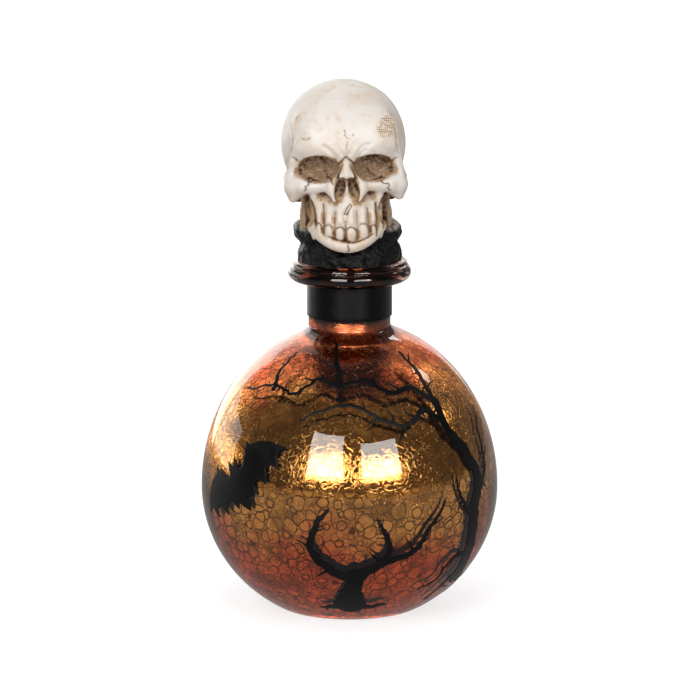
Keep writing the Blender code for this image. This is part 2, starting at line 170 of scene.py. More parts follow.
skull_late_bar_shares = {
    "nose_bone": ((0.0, -0.89, 0.515), (0.0, -1.005, 0.415), 0.058, 0.062, 1.0, CRISP),
    "nose_flank": ((0.022, -0.90, 0.455), (0.075, -0.993, 0.405), 0.052, 0.048, 1.0, CRISP),
}

# Hollows, in the lumps' shares
skull_hollow_shares = {
    "eye": ((0.440, -0.87, 0.453), (0.325, 0.47, 0.096), 5, CRISP),
    "eye_depth": ((0.40, -0.67, 0.462), (0.25, 0.27, 0.085), 5, FIRM),
    "cheek": ((0.635, -0.80, 0.128), (0.128, 0.33, 0.11), 0, CRISP),
    "temple": ((1.035, -0.42, 0.57), (0.18, 0.27, 0.20), 0, CRISP),
    "under_arch": ((0.87, -0.27, 0.17), (0.17, 0.30, 0.094), 0, FIRM),
}
skull_late_hollow_shares = {
    "nose": ((0.105, -1.03, 0.316), (0.086, 0.21, 0.086), -14, CRISP),
}

# The sides of the lower face that the brown wash covers, in the lumps' shares
skull_wash_shares = {
    "jaw_side": ((0.69, -0.22, 0.10), (0.17, 0.55, 0.15), 0),
}

# The corners of the box that the skull is modelled in, in the lumps' shares
clay_corner_shares = ((-1.16, -1.2, -0.21), (1.16, 1.3, 1.07))

# Teeth: how far each stands from the middle and how wide it is, as shares of SKULL_HALF_WIDTH
tooth_shares = (
    (-0.530, 0.052), (-0.440, 0.062), (-0.294, 0.080), (-0.125, 0.078),
    (0.053, 0.090), (0.246, 0.090), (0.407, 0.060), (0.527, 0.052),
)
# Half width and depth of the arch that they stand on, as shares of the skull's
tooth_arch_shares = (0.600, 0.53)
TOOTH_CROWN_HEIGHT = 4.4 * MM
TOOTH_CROWN_DEPTH = 2.1 * MM
TOOTH_ROOT_HEIGHT = 12.0 * MM
TOOTH_ROOT_RADIUS = 1.6 * MM
TOOTH_ROOT_TIP_RADIUS = 0.9 * MM
TOOTH_ROOT_SLANT = 1.4 * MM
TOOTH_BED_INSET = 1.1 * MM

# Lower jaw: a bar bent round the front of the tooth row
JAW_HALF_WIDTH = 15.2 * MM
JAW_DEPTH = 18.6 * MM
JAW_CENTRE_BACK = 10.5 * MM
JAW_RADIUS = 2.6 * MM
JAW_DROP = 6.1 * MM
JAW_END_RISE = 7.4 * MM
JAW_SPAN = math.radians(70)
JAW_STEPS = 24

# Carved lines on the face: points across and up, as shares of SKULL_HALF_WIDTH and SKULL_CROWN_HEIGHT
CRACK_WIDTH = 0.28 * MM
CRACK_DEPTH = 0.45 * MM
GROOVE_WIDTH = 0.45 * MM
GROOVE_DEPTH = 0.4 * MM
FOLD_WIDTH = 0.8 * MM
FOLD_DEPTH = 0.6 * MM
TEMPLE_WIDTH = 0.45 * MM
TEMPLE_DEPTH = 0.4 * MM
LINE_REACH = 2.0 * MM
crack_shares = {
    "nose_seam": ((-0.145, 0.476), (-0.109, 0.489), (-0.049, 0.526), (0.0, 0.550), (0.053, 0.524),
                  (0.106, 0.499), (0.150, 0.456)),
    "left_cheek": ((-0.551, 0.363), (-0.611, 0.358), (-0.600, 0.345), (-0.664, 0.328), (-0.640, 0.313),
                   (-0.675, 0.291)),
    "right_cheek": ((0.555, 0.353), (0.596, 0.336), (0.668, 0.333), (0.687, 0.318), (0.655, 0.299),
                    (0.698, 0.276)),
    "in_right_eye": ((0.336, 0.412), (0.380, 0.402), (0.362, 0.392), (0.411, 0.382), (0.470, 0.368)),
    "right_corner": ((0.600, 0.466), (0.653, 0.454), (0.691, 0.472), (0.725, 0.469), (0.774, 0.496),
                     (0.815, 0.503)),
    "left_corner": ((-0.840, 0.528), (-0.785, 0.514), (-0.760, 0.500)),
    "left_inner": ((-0.330, 0.405), (-0.290, 0.392), (-0.300, 0.378), (-0.235, 0.372), (-0.215, 0.352)),
    "jaw_slot": ((0.045, 0.206), (0.068, 0.190), (0.020, 0.158), (-0.008, 0.131), (-0.048, 0.133),
                 (-0.030, 0.155), (0.020, 0.190), (0.045, 0.206)),
    "mouth": ((-0.330, -0.022), (-0.204, -0.045), (-0.102, -0.055), (0.0, -0.064), (0.083, -0.069),
              (0.166, -0.062), (0.290, -0.046), (0.400, -0.022)),
    "chin": ((0.004, -0.067), (-0.010, -0.090), (0.012, -0.109), (-0.004, -0.131)),
}
groove_shares = {
    "root_a": ((-0.545, 0.190), (-0.500, 0.110), (-0.487, 0.045)),
    "root_b": ((-0.375, 0.200), (-0.372, 0.110), (-0.375, -0.015)),
    "root_c": ((-0.200, 0.150), (-0.210, 0.080), (-0.212, -0.045)),
    "root_d": ((-0.035, 0.080), (-0.040, 0.020), (-0.043, -0.055)),
    "root_e": ((0.150, 0.150), (0.155, 0.060), (0.148, -0.055)),
    "root_f": ((0.320, 0.165), (0.338, 0.080), (0.344, -0.020)),
    "root_g": ((0.455, 0.190), (0.460, 0.100), (0.466, -0.040)),
    "root_h": ((0.575, 0.140), (0.580, 0.060), (0.582, 0.0)),
    "gum_b": ((-0.405, 0.020), (-0.370, 0.044), (-0.300, 0.058), (-0.240, 0.042), (-0.215, 0.010)),
    "gum_c": ((-0.200, 0.030), (-0.165, 0.040), (-0.125, 0.047), (-0.080, 0.040), (-0.050, 0.020)),
    "gum_d": ((-0.030, 0.020), (0.0, 0.036), (0.050, 0.045), (0.100, 0.036), (0.140, 0.016)),
    "gum_e": ((0.165, 0.036), (0.200, 0.058), (0.260, 0.060), (0.305, 0.052), (0.335, 0.018)),
    "gum_f": ((0.350, 0.012), (0.380, 0.038), (0.420, 0.045), (0.455, 0.022)),
    "gum_a": ((-0.500, 0.052), (-0.460, 0.066), (-0.420, 0.046)),
}
fold_shares = {
    "left_brow": ((-0.345, 0.622), (-0.234, 0.592), (-0.150, 0.542)),
    "left_brow_low": ((-0.300, 0.600), (-0.215, 0.572), (-0.160, 0.530)),
    "right_brow": ((0.147, 0.534), (0.185, 0.580), (0.264, 0.614), (0.380, 0.632)),
    "right_brow_low": ((0.165, 0.520), (0.215, 0.565), (0.300, 0.592)),
    "left_forehead": ((-0.150, 0.640), (-0.110, 0.600), (-0.070, 0.565)),
    "right_forehead": ((0.150, 0.650), (0.105, 0.605), (0.065, 0.568)),
}
temple_shares = {
    "left_temple": ((-0.849, 0.719), (-0.826, 0.659), (-0.853, 0.587), (-0.902, 0.459), (-0.974, 0.366)),
    "right_temple": ((0.808, 0.709), (0.811, 0.642), (0.838, 0.545), (0.909, 0.434), (0.966, 0.345)),
}
stain_shares = {
    "fork": ((0.005, 0.600), (0.015, 0.630), (0.042, 0.667), (0.125, 0.704)),
    "fork_left": ((0.042, 0.667), (-0.008, 0.694), (-0.015, 0.733)),
    "left_brow_mark": ((-0.70, 0.675), (-0.62, 0.665), (-0.56, 0.680)),
}
line_marks = {"soft_gap": groove_shares, "sharp_gap": crack_shares, "stain_gap": stain_shares}
PATCH_CENTRE_SHARES = (0.655, 0.735)
PATCH_RADIUS = 5.0 * MM
HATCH_PITCH = 0.85 * MM
GROOVE_REACHES = (0.9 * MM, 1.8 * MM)
HOLLOW_REACHES = (3.5 * MM, 6.5 * MM)

# Bat print: outline of the right wing and half the body, as shares of BAT_HALF_SPAN
bat_side_shares = (
    (0.0, 0.30), (0.035, 0.34), (0.075, 0.44), (0.10, 0.32), (0.11, 0.20), (0.20, 0.22), (0.30, 0.36),
    (0.38, 0.50), (0.43, 0.42), (0.62, 0.37), (0.82, 0.24), (1.0, 0.02), (0.88, 0.05), (0.79, 0.02),
    (0.74, -0.16), (0.64, -0.04), (0.55, -0.04), (0.46, -0.26), (0.37, -0.11), (0.27, -0.12), (0.19, -0.30),
    (0.12, -0.22), (0.05, -0.36), (0.0, -0.42),
)

# Tree prints: half width at the foot and at the tip in millimetres, then points of azimuth in degrees and of
# height in millimetres
tree_limbs = {
    "right_trunk": (4.4, 1.9, ((61, 18), (58, 34), (57, 50), (60, 63), (55, 74), (47, 86), (46, 97))),
    "over_the_top": (1.5, 0.5, ((46, 96), (35, 103), (22, 102), (9, 107), (-5, 105), (-18, 107), (-31, 101),
                                (-45, 103), (-64, 99))),
    "front_branch": (1.4, 0.4, ((47, 88), (37, 94), (26, 89), (14, 93), (1, 98), (-12, 96), (-23, 92))),
    "upright_right": (1.5, 0.7, ((45, 98), (46, 107), (43, 115))),
    "upright_middle": (1.6, 0.6, ((-6, 105), (-8, 112), (-13, 119))),
    "upright_left": (1.1, 0.4, ((-44, 102), (-48, 109), (-46, 115))),
    "outer_branch": (1.8, 0.4, ((58, 55), (67, 66), (69, 79), (76, 90))),
    "inner_branch": (1.5, 0.4, ((57, 46), (49, 55), (46, 66))),
    "root_left": (2.4, 0.4, ((61, 22), (52, 16), (47, 9))),
    "root_right": (2.4, 0.4, ((61, 22), (69, 15), (73, 9))),
    "root_far": (1.6, 0.4, ((59, 30), (49, 29), (43, 20), (36, 17))),
    "low_trunk": (6.0, 3.0, ((0, 10), (1, 17), (3, 27))),
    "low_left": (3.0, 0.6, ((2, 24), (-8, 29), (-15, 37), (-14, 47), (-9, 55))),
    "low_right": (3.0, 0.6, ((3, 25), (13, 32), (24, 35), (31, 43), (39, 56))),
    "low_twig": (1.8, 0.5, ((13, 31), (16, 41), (11, 50))),
    "low_root_left": (3.4, 0.4, ((-2, 13), (-9, 9), (-18, 9))),
    "low_root_right": (3.4, 0.4, ((2, 13), (11, 9), (20, 10))),
}
LIMB_STEPS = 6
LIMB_WANDER = 0.45 * MM
TWIG_SPACING = 5.5 * MM
TWIG_LENGTH = 8.5 * MM
TWIG_MOST_WIDTH = 1.1 * MM
TWIG_STEPS = 5
TWIG_SEED = 11

# Studio
FLOOR_SIDE = 12.0
BOARD_DISTANCE = 2.4
PANEL_DISTANCE = 2.2
NEAR_DISTANCE = 0.75
LAMP_DISTANCE = 1.6
MAT_LIFT = 0.5 * MM
MAT_STEPS = 72
MAT_GLOW = 0.36
BOARD_STEP = 6

# Boards that only mirroring and clear surfaces see: azimuths and elevations in degrees, and brightness
dark_boards = {
    "dark_front": ((-106, 112), (-3, 60), 0.1),
    "dark_right": ((112, 160), (-3, 60), 0.16),
    "dark_left": ((-140, -106), (15, 60), 0.16),
    "dark_top": ((-180, 180), (60, 90), 0.16),
}
panels = {
    "left_window": ((-35, -5), (10, 37), 10.5),
    "right_window": ((10, 42), (10, 31), 10.5),
    "left_wall": ((-140, -106), (-5, 15), 2.3),
    "back_left": ((-180, -152), (28, 50), 1.8),
    "right_strip": ((117, 127), (36, 47), 6.0),
    "back_strip": ((158, 168), (30, 38), 5.0),
}
near_panels = {
    "left_screen": ((-180, -141), (-7, 28), 3.0),
}

# Lamps: azimuth and elevation in degrees, side in metres, and power in watts
lamps = {
    "left_lamp": (-24, 26, 0.8, 9.4),
    "right_lamp": (34, 22, 0.8, 4.9),
    "overhead_lamp": (0, 80, 1.0, 5.6),
}

# Soft patches: size, the levels of the noise where they begin and are full, and how fine their edges are
patch_looks = {
    "coating_zone": (11 * MM, 0.40, 0.56, 3),
    "coating_smoke": (8 * MM, 0.45, 0.66, 8),
    "coating_wear": (14 * MM, 0.42, 0.54, 3),
    "coating_breaks": (2.5 * MM, 0.42, 0.54, 3),
    "print_wear": (14 * MM, 0.40, 0.70, 3),
    "ribbon_wear": (6 * MM, 0.35, 0.70, 3),
    "cork_shade": (5 * MM, 0.35, 0.70, 5),
    "cork_pits": (2.2 * MM, 0.64, 0.70, 2),
    "collar_dust": (7 * MM, 0.42, 0.72, 6),
    "collar_brush": (4 * MM, 0.36, 0.56, 5),
    "collar_lumps": (5 * MM, 0.20, 0.80, 5),
    "ivory_shade": (13 * MM, 0.35, 0.68, 3),
    "ivory_warmth": (4.2 * MM, 0.50, 0.74, 7),
    "ivory_streaks": (1.4 * MM, 0.28, 0.72, 8),
    "ivory_blotches": (4.5 * MM, 0.36, 0.64, 5),
    "ivory_stains": (1.1 * MM, 0.38, 0.58, 4),
    "hatch_breaks": (1.5 * MM, 0.36, 0.54, 4),
}

# Cells: size, width of the lines between them as a share of it, and how far they stray
crackle_looks = {
    "coating_specks": (2.1 * MM, 0.10, 1.8 * MM),
    "coating_veins": (3.0 * MM, 0.035, 4.5 * MM),
    "cork_cells": (1.3 * MM, 0.14, 0.8 * MM),
}

# Bubbles in the coating: size, and how far they stray
bubble_looks = {
    "large": (6.2 * MM, 2.2 * MM),
    "small": (3.4 * MM, 1.3 * MM),
}

# Noise: size, and how fine it is
noise_looks = {
    "glass_waves": (18 * MM, 1),
    "coating_drift": (24 * MM, 3),
    "coating_ripples": (1.8 * MM, 3),
    "coating_dents": (1.3 * MM, 2),
}

# How far at most the drift lifts what decides the coating's colours
COATING_DRIFT = 36 * MM

# Grain: size
grain_sizes = {
    "print": 0.8 * MM,
    "ribbon": 0.5 * MM,
    "cork": 0.7 * MM,
    "collar": 0.7 * MM,
    "ivory": 1.1 * MM,
}

# Relief in the materials: depth and strength
reliefs = {
    "glass_waves": (0.25 * MM, 0.5),
    "coating_ripples": (0.2 * MM, 0.06),
    "coating_dents": (0.2 * MM, 0.3),
    "coating_specks": (0.12 * MM, 0.12),
    "coating_rings": (0.06 * MM, 0.3),
    "coating_wear": (0.12 * MM, 0.1),
    "print_grain": (0.02 * MM, 1.0),
    "ribbon_weave": (0.02 * MM, 0.5),
    "cork_bark": (0.25 * MM, 1.0),
    "collar_lumps": (1.5 * MM, 1.0),
    "collar_grain": (0.08 * MM, 1.0),
    "ivory_grain": (0.14 * MM, 1.0),
    "ivory_pits": (0.16 * MM, 0.8),
    "ivory_cracks": (0.2 * MM, 1.0),
}

# Stretches over which one look turns into another: heights on the bottle, then other places and distances
blends = {
    "gold_begins": (46 * MM, 74 * MM),
    "wear_begins": (70 * MM, 86 * MM),
    "bubbles_fade": (74 * MM, 88 * MM),
    "copper_pales": (80 * MM, 112 * MM),
    "shoulder_begins": (100 * MM, 116 * MM),
    "gold_ends": (108 * MM, 126 * MM),
    "globe_ends": (122 * MM, 130 * MM),
    "lip_shade_begins": (136 * MM, 142 * MM),
    "dents_begin": (-56 * MM, -44 * MM),
    "brush_under_top": (-3.4 * MM, -1.4 * MM),
    "brush_from_front": (-17 * MM, -11 * MM),
    "halo": (0, 1.1 * MM),
    "groove": (0.1 * MM, 0.6 * MM),
    "crack": (0.08 * MM, 0.34 * MM),
    "stain": (0.1 * MM, 0.8 * MM),
    "floor_glow": (100 * MM, 1600 * MM),
}


def tone(red, green, blue):
    """Linear colour of an 8-bit screen colour."""
    def linear(part):
        part /= 255
        return part / 12.92 if part <= 0.04045 else ((part + 0.055) / 1.055) ** 2.4
    return (linear(red), linear(green), linear(blue), 1.0)


# Node helpers


class Output:
    """A node's output, which takes part in sums and products like a number."""

    def __init__(self, socket):
        self.socket = socket
        self.tree = socket.id_data

    def __add__(self, other):
        return calculate("ADD", self, other)

    def __sub__(self, other):
        return calculate("SUBTRACT", self, other)

    def __rsub__(self, other):
        return calculate("SUBTRACT", other, self)

    def __mul__(self, other):
        return calculate("MULTIPLY", self, other)

    def __rtruediv__(self, other):
        return calculate("DIVIDE", other, self)


def outputs(node):
    """The node's outputs, by number and by name."""
    found = {}
    for number, socket in enumerate(node.outputs):
        found[number] = Output(socket)
        found.setdefault(socket.name, found[number])
    return found


def fill(node, inputs):
    """Links outputs to the node's inputs, and sets the inputs that get a plain value."""
    for name, value in inputs.items():
        if isinstance(value, Output):
            node.id_data.links.new(value.socket, node.inputs[name])
        else:
            node.inputs[name].default_value = value


def add_node(tree, kind, inputs=None, **settings):
    node = tree.nodes.new("ShaderNode" + kind)
    for name, value in settings.items():
        setattr(node, name, value)
    fill(node, inputs or {})
    return outputs(node)


def calculate(operation, *values, clamp=False):
    tree = next(value.tree for value in values if isinstance(value, Output))
    return add_node(tree, "Math", dict(enumerate(values)), operation=operation, use_clamp=clamp)[0]


def greatest(first, *others):
    for other in others:
        first = calculate("MAXIMUM", first, other)
    return first


def mixed(share, first, second):
    inputs = {0: share, 6: first, 7: second}
    return add_node(share.tree, "Mix", inputs, data_type="RGBA", clamp_factor=True)[2]


def ramp(value, low, high, low_result=0.0, high_result=1.0):
    inputs = {"Value": value, "From Min": low, "From Max": high, "To Min": low_result, "To Max": high_result}
    return add_node(value.tree, "MapRange", inputs, interpolation_type="SMOOTHSTEP")["Result"]


def blend(value, name, low_result=0.0, high_result=1.0):
    return ramp(value, *blends[name], low_result, high_result)


def parts(vector):
    found = add_node(vector.tree, "SeparateXYZ", {0: vector})
    return [found[axis] for axis in range(3)]


def scaled(vector, factor):
    return add_node(vector.tree, "VectorMath", {0: vector, "Scale": factor}, operation="SCALE")[0]


def noise(place, size, detail):
    return add_node(place.tree, "TexNoise", {"Vector": place, "Scale": 1 / size, "Detail": detail})


def named_noise(place, name):
    return noise(place, *noise_looks[name])[0]


def new_material(name):
    material = bpy.data.materials.new(name)
    material.use_nodes = True
    return material


def object_place(material):
    return add_node(material.node_tree, "TexCoord")["Object"]


def attribute(material, name):
    return add_node(material.node_tree, "Attribute", attribute_name=name)["Fac"]


def dressed(material, inputs):
    """The material, with these inputs of its main shader."""
    fill(material.node_tree.nodes["Principled BSDF"], inputs)
    return material


def new_group(name, effect, numbers, results):
    """A node group that takes a place and some numbers and gives what the effect makes of them."""
    group = bpy.data.node_groups.new(name, "ShaderNodeTree")
    group.interface.new_socket(name="Place", in_out="INPUT", socket_type="NodeSocketVector")
    for side, titles in (("INPUT", numbers), ("OUTPUT", results)):
        for title in titles:
            group.interface.new_socket(name=title, in_out=side, socket_type="NodeSocketFloat")
    given = outputs(group.nodes.new("NodeGroupInput"))
    fill(group.nodes.new("NodeGroupOutput"), effect(given))
    return group


def patches_effect(given):
    """Soft-edged patches of a given size."""
    level = noise(given["Place"], given["Size"], given["Detail"])[0]
    return {"Mask": ramp(level, given["Low"], given["High"])}


def grain_effect(given):
    """Height of a fine even grain."""
    return {"Height": noise(given["Place"], given["Size"], 4.0)[0]}


def stray_cells(given):
    """Cells, astray by up to half of Wander: the way to their edges and middles, and values for each."""
    colour = noise(given["Place"], given["Size"], 2.0)[1]
    tree = colour.tree
    centred = add_node(tree, "VectorMath", {0: colour, 1: (0.5, 0.5, 0.5)}, operation="SUBTRACT")[0]
    place = add_node(tree, "VectorMath", {0: given["Place"], 1: scaled(centred, given["Wander"])})[0]
    inputs = {"Vector": place, "Scale": 1 / given["Size"]}
    edge = add_node(tree, "TexVoronoi", inputs, feature="DISTANCE_TO_EDGE")["Distance"]
    cells = add_node(tree, "TexVoronoi", inputs)
    return edge, cells["Distance"], add_node(tree, "SeparateColor", {0: cells["Color"]})


def crackle_effect(given):
    """Irregular cells: the thin lines between them, a value for each, and how far in a point lies."""
    edge, _, values = stray_cells(given)
    return {"Line": ramp(edge, 0.0, given["Line"], 1.0, 0.0), "Cell": values[0], "Dome": edge}


def bubbles_effect(given):
    """Round bubbles of many sizes, flattened where they meet: their thin rings and what lies inside."""
    edge, middle, values = stray_cells(given)
    beyond = middle - (values[1] * 0.36 + 0.30)
    inside = ramp(beyond, -0.01, 0.01, 1.0, 0.0)
    ring, wall = (ramp(away, 0.02, 0.06, 1.0, 0.0) for away in (calculate("ABSOLUTE", beyond), edge))
    return {"Ring": greatest(ring, inside * wall), "Inside": inside, "Cell": values[0]}


patches_group = new_group("soft_patches", patches_effect, ("Size", "Detail", "Low", "High"), ("Mask",))
grain_group = new_group("fine_grain", grain_effect, ("Size",), ("Height",))
crackle_group = new_group("crackle", crackle_effect, ("Size", "Line", "Wander"), ("Line", "Cell", "Dome"))
bubbles_group = new_group("bubbles", bubbles_effect, ("Size", "Wander"), ("Ring", "Inside", "Cell"))


def shared(group, place, titles, values):
    """What a node group makes of a place and some numbers."""
    return add_node(place.tree, "Group", {"Place": place, **dict(zip(titles, values))}, node_tree=group)


def patches(place, name):
    return shared(patches_group, place, ("Size", "Low", "High", "Detail"), patch_looks[name])["Mask"]


def crackle(place, name):
    return shared(crackle_group, place, ("Size", "Line", "Wander"), crackle_looks[name])


def bubbles(place, name):
    return shared(bubbles_group, place, ("Size", "Wander"), bubble_looks[name])


def grain(place, name):
    return shared(grain_group, place, ("Size",), (grain_sizes[name],))["Height"]


def bump(height, name, under=None, **settings):
    """Relief of a named depth and strength, on top of the relief under it."""
    depth, strength = reliefs[name]
    inputs = {"Height": height, "Distance": depth, "Strength": strength}
    if under:
        inputs["Normal"] = under
    return add_node(height.tree, "Bump", inputs, **settings)["Normal"]


# Pieces


def new_mesh(name, points, faces):
    mesh = bpy.data.meshes.new(name)
    mesh.from_pydata(points, [], faces)
    mesh.update()
    mesh.shade_smooth()
    return mesh


def grid_faces(rows, columns, rows_close=False, columns_close=False):
    """Faces between points that were made row by row; rows or columns that close join their ends."""
    faces = []
    for row in range(rows if rows_close else rows - 1):
        here, ahead = row * columns, (row + 1) % rows * columns
        for column in range(columns if columns_close else columns - 1):
            beside = (column + 1) % columns
            faces.append((here + column, here + beside, ahead + beside, ahead + column))
    return faces


def add_object(name, data):
    thing = bpy.data.objects.new(name, data)
    bpy.context.collection.objects.link(thing)
    return thing


def add_piece(name, mesh, material, body, replaced=()):
    piece = add_object(name, mesh)
    mesh.materials.append(material)
    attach(piece, body)
    if replaced:
        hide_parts(*replaced)
    return piece


def around_axis(radius, angle, height):
    return (radius * math.cos(angle), radius * math.sin(angle), height)


def turned_mesh(name, outline, steps):
    """Closed body turned about Z from an outline of (radius, height) that starts and ends on the axis."""
    points, rings, faces = [], [], []
    for radius, height in outline:
        ring = range(len(points), len(points) + (1 if radius == 0 else steps))
        points += [around_axis(radius, math.tau * step / steps, height) for step in range(len(ring))]
        rings.append(ring)
    for lower, upper in zip(rings, rings[1:]):
        for here in range(steps):
            after = (here + 1) % steps
            if len(lower) == 1:
                faces.append((lower[0], upper[after], upper[here]))
            elif len(upper) == 1:
                faces.append((lower[here], lower[after], upper[0]))
            else:
                faces.append((lower[here], lower[after], upper[after], upper[here]))
    return new_mesh(name, points, faces)


# Glass bottle


def belly_drop():
    return GLOBE_WIDEST_HEIGHT / math.sqrt(1 - (FOOT_RADIUS / GLOBE_RADIUS) ** 2)


def neck_flare(widest, rise, radius, neck):
    """Start, corner and end of the curve that leads from a shoulder into the neck."""
    start = neck + NECK_FLARE
    fall = math.sqrt(1 - (start / radius) ** 2)
    height = widest + rise * fall
    corner = height + NECK_FLARE * rise / radius * (start / radius) / fall
    return Vector((start, height)), Vector((neck, corner)), Vector((neck, corner + NECK_FLARE_RISE))


def neck_foot_height():
    return neck_flare(GLOBE_WIDEST_HEIGHT, SHOULDER_RISE, GLOBE_RADIUS, NECK_RADIUS)[2].y


def neck_top_height():
    return neck_foot_height() + NECK_LENGTH


def mouth_height():
    return neck_top_height() + LOWER_BEAD_HEIGHT + UPPER_BEAD_HEIGHT - BEAD_OVERLAP


def belly_side(floor, widest, drop, rise, radius, neck, steps=36):
    """A side from the floor up over the widest place to the foot of the neck."""
    start = math.asin((widest - floor) / drop)
    points = []
    for step in range(steps):
        angle = start * (1 - step / steps)
        points.append((radius * math.cos(angle), widest - drop * math.sin(angle)))
    first, corner, last = neck_flare(widest, rise, radius, neck)
    end = math.acos(first.x / radius)
    for step in range(steps):
        angle = end * step / steps
        points.append((radius * math.cos(angle), widest + rise * math.sin(angle)))
    flare_steps = steps // 2
    for step in range(flare_steps + 1):
        share = step / flare_steps
        points.append(tuple(first.lerp(corner, share).lerp(corner.lerp(last, share), share)))
    return points


def globe_side():
    return belly_side(0, GLOBE_WIDEST_HEIGHT, belly_drop(), SHOULDER_RISE, GLOBE_RADIUS, NECK_RADIUS)


def cavity_side(inset=0):
    """The cavity's side, whose shoulder is lower than the outside's because the glass is thick there."""
    wall = GLASS_WALL + inset
    widest = GLOBE_WIDEST_HEIGHT + CAVITY_LIFT
    drop = belly_drop() + CAVITY_LIFT - wall
    rise = SHOULDER_RISE - CAVITY_LIFT - SHOULDER_WALL - inset
    return belly_side(wall, widest, drop, rise, GLOBE_RADIUS - wall, NECK_RADIUS - wall)


def foot_points(lift, steps=8):
    """The pushed-up middle of the foot, from the axis to the foot ring."""
    land = FOOT_RADIUS - FOOT_LAND_WIDTH
    shares = [step / steps for step in range(steps + 1)]
    return [(land * share, FOOT_PUSH_UP * (1 - share**2) + lift) for share in shares]


def bead_reach(height, radius, tall, base):
    """How far a round bead reaches out at a height; above and below itself it is only its core."""
    rounding = tall / 2
    away = height - base - rounding
    return radius - rounding + math.sqrt(max(rounding**2 - away**2, 0))


def lip_points(steps=40):
    """The lip's outer side from its underside to its top: a bead with a smaller one sunk into it."""
    upper_base = mouth_height() - UPPER_BEAD_HEIGHT
    points = []
    for step in range(steps + 1):
        share = (1 - math.cos(math.pi * step / steps)) / 2
        height = neck_top_height() + (mouth_height() - neck_top_height()) * share
        lower = bead_reach(height, LOWER_BEAD_RADIUS, LOWER_BEAD_HEIGHT, neck_top_height())
        upper = bead_reach(height, UPPER_BEAD_RADIUS, UPPER_BEAD_HEIGHT, upper_base)
        points.append((max(lower, upper), height))
    return points


def glass_outline():
    outside = foot_points(0) + globe_side() + [(NECK_RADIUS, neck_top_height())] + lip_points()
    bore = NECK_RADIUS - GLASS_WALL
    mouth = [(bore + MOUTH_ROUNDING, mouth_height()), (bore, mouth_height() - MOUTH_ROUNDING)]
    inside = foot_points(GLASS_WALL) + cavity_side()
    return outside + mouth + inside[::-1]


def coating_outline():
    """A shell whose outer face lies just within the glass, so that the two touch."""
    bore, top = NECK_RADIUS - GLASS_WALL, mouth_height() - 2 * MOUTH_ROUNDING
    outside, inside = (foot_points(GLASS_WALL + inset) + cavity_side(inset) + [(bore - inset, top)]
                       for inset in (-COATING_OVERLAP, COATING_THICKNESS))
    return outside + inside[::-1]


def clear_glass_material():
    material = new_material("clear_glass")
    place = object_place(material)
    height = parts(place)[2]
    lower = ramp(height, neck_foot_height(), neck_top_height())
    upper = ramp(height, mouth_height() - UPPER_BEAD_HEIGHT, mouth_height() - UPPER_BEAD_HEIGHT / 2)
    lip = mixed(upper, tone(180, 142, 130), tone(238, 206, 192))
    return dressed(material, {
        "Base Color": mixed(lower, tone(251, 246, 249), lip),
        "Roughness": 0.02,
        "Transmission Weight": 1.0,
        "IOR": 1.48,
        "Normal": bump(named_noise(place, "glass_waves"), "glass_waves"),
    })


def coating_material():
    """Silvered coat in copper and gold: bubbles, clearest below, bright worn veins above, painted shade in
    the lip.
    """
    material = new_material("mercury_coating")
    place = object_place(material)
    _, back, height = parts(place)
    level = named_noise(place, "coating_drift") * COATING_DRIFT + height
    gold = blend(level, "gold_begins") * blend(level, "gold_ends", 1.0, 0.0)
    globe = blend(height, "globe_ends", 1.0, 0.0)
    copper = mixed(blend(height, "copper_pales"), tone(240, 104, 54), tone(206, 108, 66))
    # Inside the lip the coat turns dark brown: painted shade inside the neck under the stopper
    base = mixed(blend(height, "lip_shade_begins"), mixed(gold, copper, tone(250, 176, 88)), tone(84, 46, 32))
    large, small = bubbles(place, "large"), bubbles(place, "small")
    specks, veins = crackle(place, "coating_specks"), crackle(place, "coating_veins")
    between = 1 - large["Inside"]
    rings = greatest(large["Ring"], small["Ring"] * between)
    strength = blend(level, "bubbles_fade", 1.0, 0.0) * 0.4 + 0.5
    inside = small["Inside"] * between + large["Inside"]
    shade = inside * strength * 0.24 + small["Cell"] * 0.22 + specks["Cell"] * 0.12 + 0.70
    zone = patches(place, "coating_zone")
    smoke = patches(place, "coating_smoke") * 0.5
    dark = greatest(rings * strength * 0.95, specks["Line"] * zone * 0.75, smoke) * globe
    darkened = mixed(dark, scaled(base, shade), tone(52, 25, 12))
    high = blend(level, "wear_begins") * globe
    worn = veins["Line"] * patches(place, "coating_wear") * patches(place, "coating_breaks") * high
    shoulder = blend(height, "shoulder_begins") * globe
    dents = blend(back, "dents_begin") * high * named_noise(place, "coating_dents")
    relief = bump(named_noise(place, "coating_ripples"), "coating_ripples")
    relief = bump(dents, "coating_dents", relief)
    relief = bump(ramp(specks["Dome"], 0.0, 0.10) * zone * high, "coating_specks", relief)
    relief = bump(rings * globe, "coating_rings", relief)
    return dressed(material, {
        "Base Color": mixed(worn, darkened, tone(250, 196, 112)),
        "Metallic": 1.0,
        "Roughness": worn * 0.35 + dark * 0.16 + shoulder * 0.22 + 0.05,
        "Normal": bump(worn, "coating_wear", relief),
    })


def make_glass():
    glass = add_piece("bottle_glass", turned_mesh("bottle_glass", glass_outline(), GLASS_STEPS),
                      clear_glass_material(), "bottle", ["glass_bottle"])
    glass.data.set_sharp_from_angle(angle=math.radians(50))
    add_piece("mercury_coating", turned_mesh("mercury_coating", coating_outline(), GLASS_STEPS),
              coating_material(), "bottle")


# Prints


def print_material():
    material = new_material("black_print")
    place = object_place(material)
    worn = patches(place, "print_wear")
    return dressed(material, {
        "Base Color": mixed(worn, tone(8, 7, 8), tone(14, 13, 14)),
        "Specular IOR Level": 0.18,
        "Roughness": ramp(worn, 0, 1, 0.36, 0.48),
        "Normal": bump(grain(place, "print"), "print_grain"),
    })


